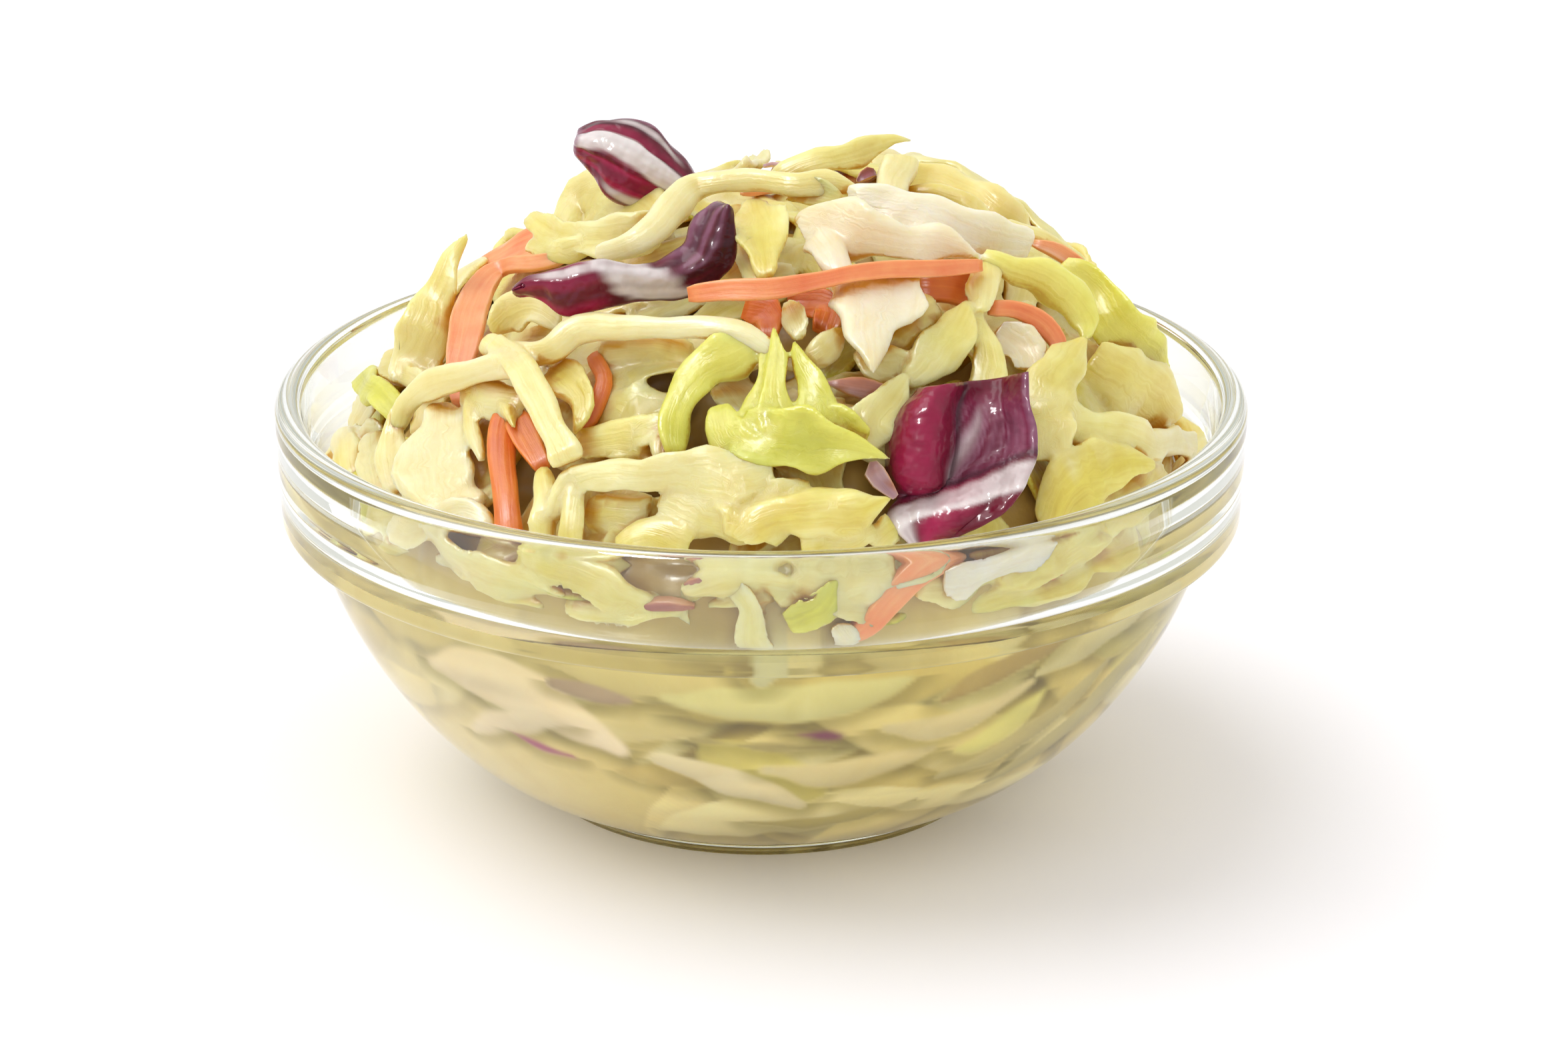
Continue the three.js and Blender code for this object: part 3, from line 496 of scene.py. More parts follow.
wet_mottle = wet_mottle_group()
packed_slaw, node = new_material("packed_slaw")
tint = node("ShaderNodeAttribute", attribute_name="tint").outputs["Color"]
mottled = node("ShaderNodeGroup", {"Tint": tint, "Share": 0.3, "Cloud Scale": 160.0, "Cloud Detail": 3.0,
                                   "Distortion": 0.8, "Grain Scale": 900.0}, node_tree=wet_mottle).outputs
relief = node("ShaderNodeBump", {"Height": mottled["Grain"], "Strength": 0.15, "Distance": 0.0004})
cream = node("ShaderNodeBsdfPrincipled", {
    "Base Color": mottled["Tint"], "Roughness": 0.38, "Normal": relief.outputs[0],
    "Subsurface Weight": 0.35, "Subsurface Radius": (1.0, 0.75, 0.35), "Subsurface Scale": 0.0015,
    "Coat Weight": 0.2, "Coat Roughness": 0.15})
node("ShaderNodeOutputMaterial", {"Surface": cream.outputs[0]})

body = make_mesh("packed_slaw_body", body_corners, body_faces(BODY_SIDES, rows_down), packed_slaw,
                 {"tint": np.column_stack([body_colours, np.ones(len(body_colours))])})
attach(body, "root")
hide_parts("slaw")

# ---------------------------------------------------------------- cabbage leaf
# White cabbage cut on a shredding disc, in its own thick coat of dressing. The shreds are spooned up
# one on another and stick together, so the leaves are melted into one skin with rounded joints.

FRONT = np.array([0, -0.93, 0.36])
STEP = 1.1  # millimetres between the stations of a strip
LAY_STEP = 3  # and between the places where a shred is laid on the others
SPRING = 0.02  # how fast a bridging shred droops, in millimetres for each square millimetre
SINK = 0.35  # how far a shred presses into those under it
GLASS_GAP = 0.5  # clear space kept between the loose shreds and the glass
ROOF_AT_EDGE = 0.5  # how high the shreds may pile over the skin beside the glass
ROOF = 4.5  # and how much higher at the top
REACH = math.ceil(SKIN_LENGTH) + 6
GOLDEN_TURN = math.pi * (3 - math.sqrt(5))
cell_a, cell_b = np.meshgrid(np.arange(-REACH, REACH + 1), np.arange(-REACH, REACH + 1), indexing="ij")


def shred(rows, thick, facing, roll=0.0):
    """A shred on the heap. Facing turns its flat side from the heap's skin towards the front."""
    a, b, level, width = np.array(rows, float).T
    return stations(np.column_stack([on_skin(a, b, level), width, skin_normal(a, b)]), thick, facing, roll)


def well_radius(height):
    """Radius of the inside of the glass at a height."""
    radii, heights = np.array(well_profile(60)).T
    return np.interp(height, heights[::-1], radii[::-1])


def within_glass(corners, gap):
    """The corners, moved in towards the axis where they would come within the gap of the glass."""
    radius = np.hypot(corners[:, 0], corners[:, 1])
    share = np.minimum(1, (well_radius(corners[:, 2]) - gap) / np.maximum(radius, 1e-6))
    return corners * np.column_stack([share, share, np.ones(len(corners))])


def wall_shred(rows, thick, roll):
    """A shred beside the glass, through rows of (turn, height, distance from the wall, width)."""
    turn, height, inset, width = np.array(rows, float).T
    turn = np.radians(turn)
    outwards = np.column_stack([np.sin(turn), -np.cos(turn), np.zeros(len(turn))])
    centre = outwards * (well_radius(height) - inset - thick / 2)[:, None]
    centre[:, 2] = height
    return stations(np.column_stack([centre, width, outwards]), thick, 0, roll)


def spaced(points, spacing, least):
    """Places on the curve through some points at about a spacing, and the curve's length."""
    _, length = curve_through(points, least)
    return curve_through(points, max(least, round(length / spacing)))


def stations(knots, thick, facing, roll):
    """Evenly spaced stations along a shred through knots of place, width and normal."""
    line, length = spaced(knots, STEP, 5)
    centre, half = line[:, :3], np.maximum(line[:, 3], 0.3) / 2
    along = unit(np.gradient(centre, axis=0))
    normal = unit((1 - facing) * unit(line[:, 4:7]) + facing * FRONT)
    across = unit(np.cross(along, normal))
    up = np.cross(across, along)
    turned_across = across * math.cos(roll) + up * math.sin(roll)
    return {"centre": centre, "across": turned_across, "up": np.cross(turned_across, along), "half": half,
            "thick": thick, "length": length}


def solid_strip(laid, seed, plump, sides, ruffle, square):
    """Corners and faces of a rounded strip, a little uneven as cut leaf is. Each corner also has its place
    in the strip: how far along, how far across, the share of the length and how near the edge."""
    draw = np.random.default_rng(seed)
    rows = len(laid["centre"])
    run = np.linspace(0, laid["length"], rows)
    end = np.minimum(run, laid["length"] - run)
    rounding = np.sqrt(np.clip(1 - (1 - np.minimum(end / 0.8, 1)) ** 2, 0.25, 1))
    phases = draw.uniform(0, 6.3, 6)
    pitches = draw.uniform(0.3, 0.6, 6)
    slow, quick = 0.15 * ruffle, 0.1 * ruffle
    left = laid["half"] * (1 + slow * np.sin(run * pitches[0] + phases[0])
                           + quick * np.sin(run * 1.1 + phases[1]))
    right = laid["half"] * (1 + slow * np.sin(run * pitches[2] + phases[2])
                            + quick * np.sin(run * 1.2 + phases[3]))
    body = np.minimum(laid["thick"] * plump, 0.4 + 1.4 * laid["half"]) / 2
    notch = 0.2 * ruffle * np.clip(ripple(seed + 2, run / 1.7), -1, 0.6) * np.minimum(1, laid["half"] / 2)
    left, right = left + notch * laid["half"] / 2, right - notch * laid["half"] / 2
    angle = np.linspace(0, 2 * math.pi, sides, endpoint=False)
    flat = np.sign(np.cos(angle)) * np.abs(np.cos(angle)) ** square
    bulge = np.sign(np.sin(angle)) * np.abs(np.sin(angle)) ** square
    width = np.where(flat[None, :] < 0, left[:, None], right[:, None]) * (0.7 + 0.3 * rounding[:, None])
    wave = ruffle * np.sin(run * pitches[4] + phases[4]) * np.minimum(1, laid["half"] / 2.5)
    cup = draw.uniform(-0.9, 1.1) * np.minimum(1, laid["half"] / 3)
    wave = wave + 0.5 * ruffle * np.sin(run * 1.3 + phases[5]) * np.clip(laid["half"] / 2.5 - 0.6, 0, 1)
    offset = flat[None, :] * width
    rise = bulge[None, :] * (body * rounding)[:, None]
    rise = rise + wave[:, None] * flat * np.abs(flat) + cup[:, None] * flat ** 2
    corners = (laid["centre"][:, None] + laid["across"][:, None] * offset[..., None]
               + laid["up"][:, None] * rise[..., None]).reshape(-1, 3)
    first, last = len(corners), len(corners) + 1
    tips = np.array([corners[:sides].mean(axis=0), corners[-sides:].mean(axis=0)])
    faces = []
    for k in range(sides):
        n = (k + 1) % sides
        faces.append((first, n, k))
        faces += [(r + k, r + n, r + sides + n, r + sides + k) for r in range(0, (rows - 1) * sides, sides)]
        faces.append((last, (rows - 1) * sides + k, (rows - 1) * sides + n))
    bend = [lumps(0.55, 3.2, way, *corners.T) + lumps(0.2, 1.4, way + 9, *corners.T) for way in (91, 92, 93)]
    corners = within_glass(corners + np.column_stack(bend) * ruffle, GLASS_GAP)
    far = np.broadcast_to(run[:, None], offset.shape).ravel()
    edge = np.broadcast_to(np.abs(flat)[None, :], offset.shape).ravel()
    where = np.column_stack([far, offset.ravel(), far / laid["length"], edge])
    return np.vstack([corners, tips]), faces, np.vstack([where, [0, 0, 0, 1], [laid["length"], 0, 1, 1]])


def lay(path, width, thick, heap):
    """Lays a shred on the heap along a path of (a, b), touching the high places; gives its rows."""
    line, length = spaced(np.column_stack([path, np.zeros(len(path))]), LAY_STEP, 4)
    u = np.linspace(0, 1, len(line))
    widths = np.interp(u, np.linspace(0, 1, len(width)), width)
    near = [np.hypot(cell_a - p[0], cell_b - p[1]) for p in line]
    support = np.array([heap[away <= max(1, wide * 0.4)].max(initial=heap.min())
                        for away, wide in zip(near, widths)])
    gap = (u[:, None] - u[None, :]) * length
    level = ((support + thick / 2 - SINK)[None, :] - SPRING * gap ** 2).max(axis=1)
    from_top = np.hypot(line[:, 0], line[:, 1]) / SKIN_LENGTH
    level = np.minimum(level, ROOF_AT_EDGE + ROOF * (1 - from_top ** 3))
    for away, wide, high in zip(near, widths, level):
        covered = away <= max(1, wide / 2)
        heap[covered] = np.maximum(heap[covered], high + thick / 2)
    return np.column_stack([line[:, :2], level, widths])


def scattered(i, count, reach, width, margin):
    """A shred of the even spread, like the seeds of a sunflower, up to a margin inside the heap's edge:
    its path of (a, b), and the widths along it."""
    way, longer, curl, wider = ((i * ratio) % 1 for ratio in (0.7549, 0.5698, 0.3547, 0.4656))
    distance = (SKIN_LENGTH - margin) * math.sqrt((i + 0.5) / count)
    azimuth, heading = i * GOLDEN_TURN, way * math.pi
    half_length = reach * (0.7 + 0.9 * longer)
    bow = 7 * (curl - 0.5)
    a, b = distance * math.cos(azimuth), distance * math.sin(azimuth)
    towards, aside = math.cos(heading), math.sin(heading)
    path = []
    for end in (-1, 0, 1):
        swing = bow * (1 - end * end)
        to_a = a + end * half_length * towards - swing * aside
        to_b = b + end * half_length * aside + swing * towards
        within = min(1, (SKIN_LENGTH - margin / 2) / math.hypot(to_a, to_b))
        path.append((to_a * within, to_b * within))
    full = width * (1 + 0.95 * wider)
    taper = [(0.8, 1, 0.9), (0.3, 1, 0.8), (0.9, 1, 0.4), (0.15, 1, 1)][i % 4]
    return path, [full * share for share in taper]


# Colours of each kind, from which a strip takes the tints of its two ends, the colour of its pale cut
# edge, partly the cut flesh and partly a painted highlight, and the share of a strip's thickness that its
# edges keep; leaf is the thinnest.
tints = {
    "leaf": [srgb(242, 230, 156), srgb(238, 222, 122), srgb(230, 212, 94), srgb(238, 228, 166)],
    "strand": [srgb(247, 237, 182), srgb(242, 228, 142)],
    "white": [srgb(252, 240, 214), srgb(248, 230, 186)],
    "lime": [srgb(210, 209, 58), srgb(234, 227, 114), srgb(219, 214, 82)],
    "carrot": [srgb(253, 194, 154), srgb(251, 182, 134), srgb(254, 214, 184)],
    "deep_carrot": [srgb(238, 156, 56), srgb(232, 146, 48)],
    "mauve": [srgb(150, 84, 108), srgb(196, 158, 164)],
}
EDGE_PALE_AND_HIGHLIGHT = {kind: srgb(250, 240, 204) for kind in tints}
EDGE_PALE_AND_HIGHLIGHT.update({"carrot": srgb(254, 216, 190), "deep_carrot": srgb(246, 182, 100),
                  "lime": srgb(237, 239, 150)})
PLUMP = {kind: 0.6 for kind in tints} | {"strand": 0.9, "carrot": 0.82, "deep_carrot": 0.82}
kinds_laid = {kind: [] for kind in tints}
pile = np.zeros(cell_a.shape)
UNDER = 150  # shreds that show between the others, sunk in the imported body
SCATTERED = 56  # and loose ones on top, but only behind SHOWN_FROM, where none shows by name
SHOWN_FROM = 4
HANGING = 56
UNDER_SEED, SCATTERED_SEED, SHOWN_SEED, HANGING_SEED, WALL_SEED = 1000, 2000, 3000, 4000, 4500

for i in range(UNDER):
    path, width = scattered(i, UNDER, reach=9, width=4.0, margin=2)
    if hollow_depth(*np.array(path[1])) < 1:
        kind = "carrot" if i % 12 == 4 and path[1][1] > 5 else "lime" if i % 7 == 2 else "leaf"
        levels = [(i * ratio) % 1 * 1.8 - 1.9 for ratio in (0.618, 0.755, 0.57)]
        rows = [(a, b, level, w) for (a, b), level, w in zip(path, levels, width)]
        roll = math.radians((i * 67) % 40 - 20)
        kinds_laid[kind].append((shred(rows, thick=1.8, facing=0.2, roll=roll), UNDER_SEED + i))
for i in range(SCATTERED):
    path, width = scattered(i, SCATTERED, reach=12, width=4.0, margin=7)
    if path[1][1] > SHOWN_FROM:
        kind = "carrot" if i % 7 == 3 else "lime" if i % 9 == 5 else "leaf"
        rows = lay(path, width, thick=1.8, heap=pile)
        roll = math.radians((i * 41) % 50 - 25)
        kinds_laid[kind].append((shred(rows, thick=2.1, facing=0, roll=roll), SCATTERED_SEED + i))

# The shreds of the front and sides, one by one: a kind, its thickness, how far its flat side faces the
# front, and rows of (a, b, level above the skin, width) along it.
shown = [
    ("leaf", 2.2, 0.8, [(-25, 5, 1.5, 4), (-21.5, 7.5, 3, 8), (-16.5, -2, 4, 8.5), (-11.5, -10, 4, 5.5)]),
    ("leaf", 2.2, 0.9, [(-26.5, 1, 5, 1.5), (-23.5, -5.5, 4.5, 3.5), (-18.5, -11.5, 4, 4.5),
        (-13.5, -14, 4, 5), (-10, -12.5, 4, 2.5)]),
    ("leaf", 2, 0.9, [(-27, -3.5, 3, 2.5), (-22.5, -10.5, 3.5, 3.5), (-18.5, -11.5, 3.5, 3)]),
    ("carrot", 1.9, 0.8, [(-22.5, -10, 2, 1.5), (-26.5, -8, 2, 2), (-31, -4, 2, 2), (-33, -6, 2.2, 3),
        (-34.5, -12.5, 2.2, 4), (-35.5, -19, 2, 4), (-37, -23, 1, 3), (-37, -29, 0.5, 2.5)]),
    ("leaf", 2.4, 0.9, [(-32, -6, 8, 0.5), (-34.5, -8, 7, 2.5), (-37.5, -10, 5.5, 4.5), (-40, -13, 4, 6),
        (-44, -14, 2, 6.5), (-46, -16, 1, 5)]),
    ("leaf", 2.2, 0.8, [(-49, 0, 1, 4), (-48.5, -9, 1.5, 3), (-42, -21, 1.5, 3)]),
    ("lime", 2.6, 0.9, [(-54.5, -2, 2.5, 3.5), (-49.5, -16, 2.5, 3.5), (-47.5, -23, 1, 3)]),
    ("leaf", 3, 0.8, [(-59, -10, 1.5, 3.5), (-58, -19, 1.5, 4), (-58.5, -24.5, 0.5, 3.5)]),
    ("leaf", 2.2, 0.8, [(-53.5, -18.5, 0.5, 2.5), (-52.5, -27.5, 1, 5), (-51, -35, 0.5, 4.5)]),
    ("leaf", 2.2, 0.9, [(-44, -24.5, 3.5, 2.5), (-47, -26.5, 3, 2.5), (-48.5, -31, 2, 3.5),
        (-48.5, -35, 1, 2.5)]),
    ("leaf", 2.2, 0.9, [(-39, -28.5, 2.5, 3), (-39.5, -32.5, 3, 7), (-40.5, -37.5, 3, 9.5),
        (-40.5, -42.5, 2.5, 9), (-39.5, -47, 1.5, 7)]),
    ("leaf", 1.8, 0.9, [(-43, -45.5, 1.8, 2.5), (-37.5, -47, 2.6, 3.5), (-34, -50, 1.6, 1.5)]),
    ("leaf", 2.4, 0.9, [(-31, -22.5, 3, 2), (-28.5, -21.5, 3.5, 4.5), (-24.5, -23, 4, 5),
        (-21.5, -26.5, 3.5, 2.5)]),
    ("leaf", 2, 0.9, [(-35.5, -30.5, 2.5, 3), (-31.5, -33.5, 3, 5), (-27, -36, 3, 4.5)]),
    ("leaf", 1.8, 0.9, [(-29, -35, 3, 2.5), (-28.5, -39.5, 3.4, 0.5)]),
    ("leaf", 1.8, 0.9, [(-33.5, -32, 3, 2.5), (-35, -36, 2.5, 2), (-34.5, -40.5, 2, 1)]),
    ("deep_carrot", 1.9, 0.9, [(-30, -34.5, 2, 2.5), (-31, -38.5, 2.4, 3.5), (-31.5, -43, 2.4, 3),
        (-31.5, -47.5, 2.4, 3), (-32, -52.5, 2, 3.5)]),
    ("deep_carrot", 1.7, 0.9, [(-29, -36.5, 2, 3), (-28, -40, 1.8, 3.5), (-26.5, -45, 1.4, 2)]),
    ("leaf", 2.2, 0.9, [(-23.5, -32, 3, 4), (-21, -35.5, 3.4, 5), (-20, -39, 3.4, 3.5),
        (-21.5, -42.5, 3, 0.5)]),
    ("strand", 2.6, 1, [(-46.5, -26.5, 2.5, 2), (-43, -26, 4, 3), (-38, -28, 5, 3.5), (-33, -30.5, 5.5, 3),
        (-28.5, -32, 6, 3.5), (-25.5, -34, 6, 3)]),
    ("strand", 2.6, 1, [(-29, -27.5, 5.5, 2.5), (-25.5, -34.5, 6.5, 3.5), (-24, -39.5, 6, 3.5),
        (-23, -43.5, 5.5, 3.5), (-22, -47.5, 5, 4.5)]),
    ("strand", 2.8, 1, [(-31, -25.5, 4.5, 2.5), (-27, -30, 5, 3), (-22.5, -32, 5.5, 3), (-19, -31, 6, 3.5),
        (-14.5, -32.5, 6, 3), (-9.5, -34, 6, 2.5), (-4.5, -35, 6, 2.5), (-1, -36, 5.5, 2.5),
        (2, -38, 4.5, 2.5)]),
    ("leaf", 2, 0.9, [(-18, -30.5, 1.5, 2.5), (-13.5, -32.5, 1, 4.5), (-8.5, -35, 1, 4.5)]),
    ("deep_carrot", 1.8, 0.9, [(-19, -31, 1.5, 2), (-18, -35, 1, 2), (-20, -39, 0.6, 2.5),
        (-22, -41, 0.6, 1)]),
    ("leaf", 2, 0.9, [(-22, -42.5, 0.8, 4), (-16.5, -43.5, 1, 4.5), (-12.5, -44.5, 1, 4.5)]),
    ("leaf", 2, 0.9, [(-14, -44, 1.4, 3), (-10.5, -44.5, 1.8, 3.5), (-11, -48.5, 1.6, 3)]),
    ("strand", 2.8, 1, [(-17, -19.5, 6, 2.5), (-14, -20.5, 6.5, 3), (-11, -20, 7, 3.5),
        (-8.5, -16, 7.5, 4), (-6.5, -12.5, 8, 3.5), (-4, -12.5, 8.4, 2.5), (0, -12.5, 8, 2.5),
        (4, -14, 7.5, 3), (7.5, -13.5, 7, 3.5), (11.5, -13.5, 6, 0.5)]),
    ("leaf", 2, 1, [(3.5, -12.5, 6, 3), (6.5, -14, 6, 4), (9.5, -15, 5.5, 1.5)]),
    ("leaf", 2.4, 1, [(2, -10, 6.5, 2), (5.5, -9.5, 7.5, 3), (9.5, -8.5, 8, 4), (12.5, -6, 8.5, 3),
        (15, -4.5, 9, 1.5), (17, -4.5, 9, 0.5)]),
    ("strand", 3.4, 1, [(14.5, -15, 5, 4), (14.5, -12.5, 6.5, 4), (15.5, -9.5, 7.5, 4.5),
        (15.5, -8, 8, 3.5)]),
    ("leaf", 2.2, 0.9, [(16.5, -10.5, 5, 1.5), (19.5, -10.5, 5.5, 2), (22.5, -11.5, 5.5, 2.5),
        (26, -13, 5, 2)]),
    ("leaf", 2.2, 0.9, [(26, -12, 4, 1.5), (28.5, -11.5, 4.5, 2.5), (33, -10.5, 4.5, 2.5),
        (38.5, -8, 4, 1.5)]),
    ("leaf", 2, 0.7, [(-7.5, -4, 3, 3), (-3, -11.5, 2.5, 4), (1.5, -14, 3, 4)]),
    ("leaf", 2.2, 1, [(0, -14, 6, 3), (0.5, -20, 6, 6), (0.5, -24, 5.5, 4.5), (1, -28, 5, 2.5)]),
    ("leaf", 1.6, 0.9, [(-2.5, -16.5, 3, 2), (-1.5, -21.5, 3, 2.5), (0, -26, 3, 2)]),
    ("white", 2.4, 1, [(10, -16, 5.5, 4), (13.5, -17, 6, 4.5), (18.5, -17.5, 6, 5), (23.5, -17.5, 5.5, 6),
        (28, -16, 5, 5), (30, -15, 4.5, 4)]),
    ("white", 2.6, 1, [(4, -19.5, 6.5, 2), (7, -22, 7, 6.5), (10.5, -23.5, 7, 5.5), (14.5, -23.5, 7, 4.5),
        (19, -22.5, 6.5, 4), (23.5, -22, 6, 0.5)]),
    ("white", 2.4, 1, [(5.5, -22, 6, 4.5), (7.5, -26, 6, 4), (8.5, -28.5, 5, 2.5)]),
    ("white", 2.4, 1, [(12, -27.5, 6, 10), (12, -31, 6, 11), (11.5, -34.5, 6.5, 7.5), (11.5, -38, 6.5, 4),
        (11.5, -41, 6.5, 0.5)]),
    ("carrot", 2.2, 1, [(-7, -30.5, 6.5, 2), (-3, -31, 7, 2.5), (1, -31.5, 7.2, 2.5), (5.5, -31, 7.5, 2),
        (10.5, -29.5, 7.8, 2), (14.5, -28.5, 8, 2), (18.5, -27, 7.6, 2), (23, -24.5, 7, 1.5)]),
    ("deep_carrot", 1.8, 0.9, [(-1.5, -29.5, 2.5, 3), (1, -31, 2.5, 4), (1, -34.5, 2.5, 1.5)]),
    ("deep_carrot", 1.8, 0.9, [(3, -29, 2, 2.5), (7.5, -29.5, 2, 4), (7, -33, 1.5, 3)]),
    ("leaf", 1.8, 0.9, [(3, -30.5, 4, 1.5), (4, -33.5, 4, 3), (4.5, -35.5, 3.5, 1.5)]),
    ("leaf", 1.8, 0.9, [(9, -34, 3.5, 1), (7.5, -36, 3, 3), (5.5, -37.5, 2.5, 3)]),
    ("deep_carrot", 1.8, 0.8, [(17.5, -25, 2.5, 4), (21.5, -24, 2.5, 4.5), (26, -23, 2, 4)]),
    ("leaf", 2, 0.9, [(14, -34.5, 2, 4.5), (16, -31, 2.5, 4.5), (19.5, -28.5, 2.5, 4.5)]),
    ("leaf", 2.2, 1, [(22.5, -28, 5, 0.5), (21.5, -31, 4.5, 4.5), (19.5, -35, 4, 5.5), (18, -38, 3.5, 4),
        (15.5, -39.5, 3, 1.5)]),
    ("leaf", 2, 1, [(23.5, -27.5, 4, 2), (24.5, -31, 4, 3.5), (25.5, -34.5, 3.5, 4.5),
        (25.5, -38, 3, 4.5)]),
    ("leaf", 2, 0.9, [(11, -35, 2, 3), (14, -37, 2, 4.5), (19, -37, 2, 4.5)]),
    ("white", 2, 0.9, [(27, -28.5, 3, 4), (30, -29.5, 3, 5.5), (31, -32, 3, 4.5)]),
    ("carrot", 2, 1, [(25, -27.5, 4.5, 2), (28, -26.5, 5, 2), (31.5, -26.5, 5, 2.5), (34, -28, 4.5, 2),
        (33.5, -30.5, 4, 1)]),
    ("leaf", 2, 1, [(24, -22, 6, 3.5), (24, -25.5, 6, 4), (24, -29, 5.5, 2.5)]),
    ("carrot", 2, 0.9, [(30.5, -13, 4.5, 1), (33.5, -12.5, 5, 2), (37, -12.5, 5, 2), (41, -12.5, 4.5, 2),
        (45.5, -11, 3.5, 0.5)]),
    ("lime", 2.6, 1, [(23.5, -22, 6.5, 2), (26, -22, 6.5, 3), (30, -21.5, 6.5, 4), (34, -21.5, 6, 4.5),
        (37, -22.5, 5.5, 3.5), (37, -24.5, 5, 0.5)]),
    ("lime", 2.6, 1, [(34, -14.5, 4.5, 3), (38, -16, 5, 5), (41.5, -18.5, 5, 7), (47, -16, 4, 6),
        (53, -11, 3, 2.5)]),
    ("leaf", 2.4, 0.9, [(40.5, -23.5, 2.5, 5.5), (45.5, -22.5, 3, 8.5), (50.5, -20, 2.5, 8),
        (56, -17, 1.5, 4)]),
    ("leaf", 2.4, 1, [(36.5, -25.5, 6.5, 0.5), (34.5, -29.5, 6, 5), (33, -34, 5, 7), (33, -38.5, 4, 7.5),
        (34.5, -42.5, 3, 7)]),
    ("leaf", 2.4, 0.9, [(33, -39.5, 4, 5.5), (38, -36.5, 4.5, 5), (45.5, -32, 4, 4), (53.5, -24.5, 3, 4),
        (62.5, -10, 1.5, 3.5)]),
    ("leaf", 2.4, 0.9, [(54.5, -27, 1.5, 5), (50, -36, 1.5, 5.5), (44.5, -44.5, 1, 4.5)]),
    ("leaf", 2.4, 1, [(37, -49, 2, 4.5), (37, -46, 3.5, 7.5), (40.5, -41.5, 4, 7.5), (46, -36, 4, 4.5),
        (50, -32, 4, 1)]),
    ("leaf", 2, 1, [(16, -39, 4, 1.5), (14.5, -41.5, 4, 4), (12.5, -45, 3.5, 5.5), (14.5, -47, 3, 4.5)]),
    ("lime", 2.6, 1, [(-0.5, -36, 5, 3), (-3.5, -38, 5, 5), (-6.5, -39.5, 4.6, 4.5), (-8.5, -42.5, 4, 3.5),
        (-9.5, -45.5, 3.5, 3.5), (-9.5, -48.5, 3, 3)]),
    ("lime", 2.4, 1, [(1, -37, 4.6, 3), (0.5, -42, 4.6, 3.5), (-0.5, -46.5, 4.4, 4.5)]),
    ("lime", 2.4, 1, [(-4.5, -43.5, 3.6, 2.5), (-3.5, -47, 4, 4.5), (-1.5, -49.5, 4, 6)]),
    ("lime", 2.6, 1, [(-2, -46.5, 4.6, 6), (2, -48, 5, 7.5), (6.5, -49, 5.4, 6), (11, -49.5, 5.8, 3),
        (14.5, -50, 6, 0.5)]),
    ("lime", 2.2, 1, [(2, -47, 5, 4.5), (1.5, -42.5, 5.6, 3.5), (1.5, -39, 6, 2.5),
        (1.5, -35.5, 6.5, 0.5)]),
    ("lime", 2.2, 1, [(7, -47, 5.2, 4.5), (6, -43.5, 5.6, 4), (4.5, -40.5, 6, 2.5),
        (3.5, -37.5, 6.4, 0.5)]),
    ("lime", 2.2, 1, [(3.5, -45, 4.6, 4.5), (8, -46.5, 4.6, 4.5), (12, -47.5, 4.6, 2.5)]),
    ("leaf", 2.4, 1, [(-25, -52, 2.5, 2.5), (-22.5, -49.5, 3.4, 3), (-18.5, -49.5, 4, 3.5),
        (-14, -51, 4.4, 4.5), (-8.5, -51.5, 4.4, 5.5), (-3, -51.5, 4.4, 6), (1.5, -51, 4, 4.5)]),
    ("leaf", 2.2, 0.9, [(-3, -53.5, 3.2, 4), (0.5, -54.5, 3.4, 4.5), (4, -53.5, 3.2, 4)]),
    ("leaf", 2.2, 0.7, [(14.5, -5.5, 4.5, 3), (19.5, -4.5, 4.5, 5), (23.5, -6.5, 4.5, 5), (27, -8.5, 4, 5),
        (31, -7.5, 3, 3)]),
    ("leaf", 2.4, 0.9, [(-12, -52.5, 2.5, 4.5), (-8, -55, 3, 7), (-3.5, -56, 3, 7),
        (1.5, -56.5, 2.8, 4.5)]),
    ("leaf", 2.2, 0.9, [(-4.5, -53, 3.4, 4.5), (-2.5, -55.5, 3.6, 4), (-3.5, -58.5, 3, 3)]),
    ("leaf", 2.2, 0.9, [(4, -52, 3.4, 4.5), (3, -55.5, 3.4, 4.5), (0.5, -59, 2.6, 4)]),
    ("leaf", 2.4, 1, [(-2.5, -58, 3.4, 4.5), (1.5, -56.5, 4, 4.5), (6, -56.5, 4.4, 5.5),
        (11, -56, 4.6, 4.5), (15.5, -54, 5, 0.5)]),
    ("leaf", 2.2, 0.9, [(5, -59.5, 2.6, 4.5), (9.5, -58, 3, 5.5), (13.5, -57, 3, 3)]),
    ("leaf", 2.2, 0.9, [(13.5, -58.5, 2, 4), (16.5, -56, 2.2, 4)]),
    ("leaf", 2.2, 1, [(-26.5, -45.5, 2.6, 1.5), (-26, -50, 2.8, 3), (-27, -55, 2.4, 3.5)]),
    ("leaf", 2.2, 1, [(-21.5, -49, 3, 1.5), (-22.5, -52.5, 3.2, 2.5), (-23.5, -56.5, 2.6, 3)]),
    ("leaf", 2.2, 0.9, [(-18, -57.5, 1.8, 3), (-14.5, -57, 2.2, 4), (-9, -59.5, 1.8, 4)]),
    ("mauve", 1.6, 0.9, [(7.5, -40.5, 3, 0.5), (11, -40.5, 2.6, 2.5), (15, -40.5, 2.6, 1)]),
    ("mauve", 1.6, 0.9, [(13, -49.5, 3.2, 1), (13.5, -51, 3.2, 2.5), (16, -53, 3, 1)]),
    ("mauve", 1.6, 0.9, [(1, 0, 5, 0.5), (2.5, -1.5, 5.5, 0.5), (3.5, -2, 5, 0.5)]),
    ("mauve", 1.6, 0.9, [(11, -11, 6, 0.5), (12, -10, 6.5, 1.5), (13, -8.5, 6, 0.5)]),
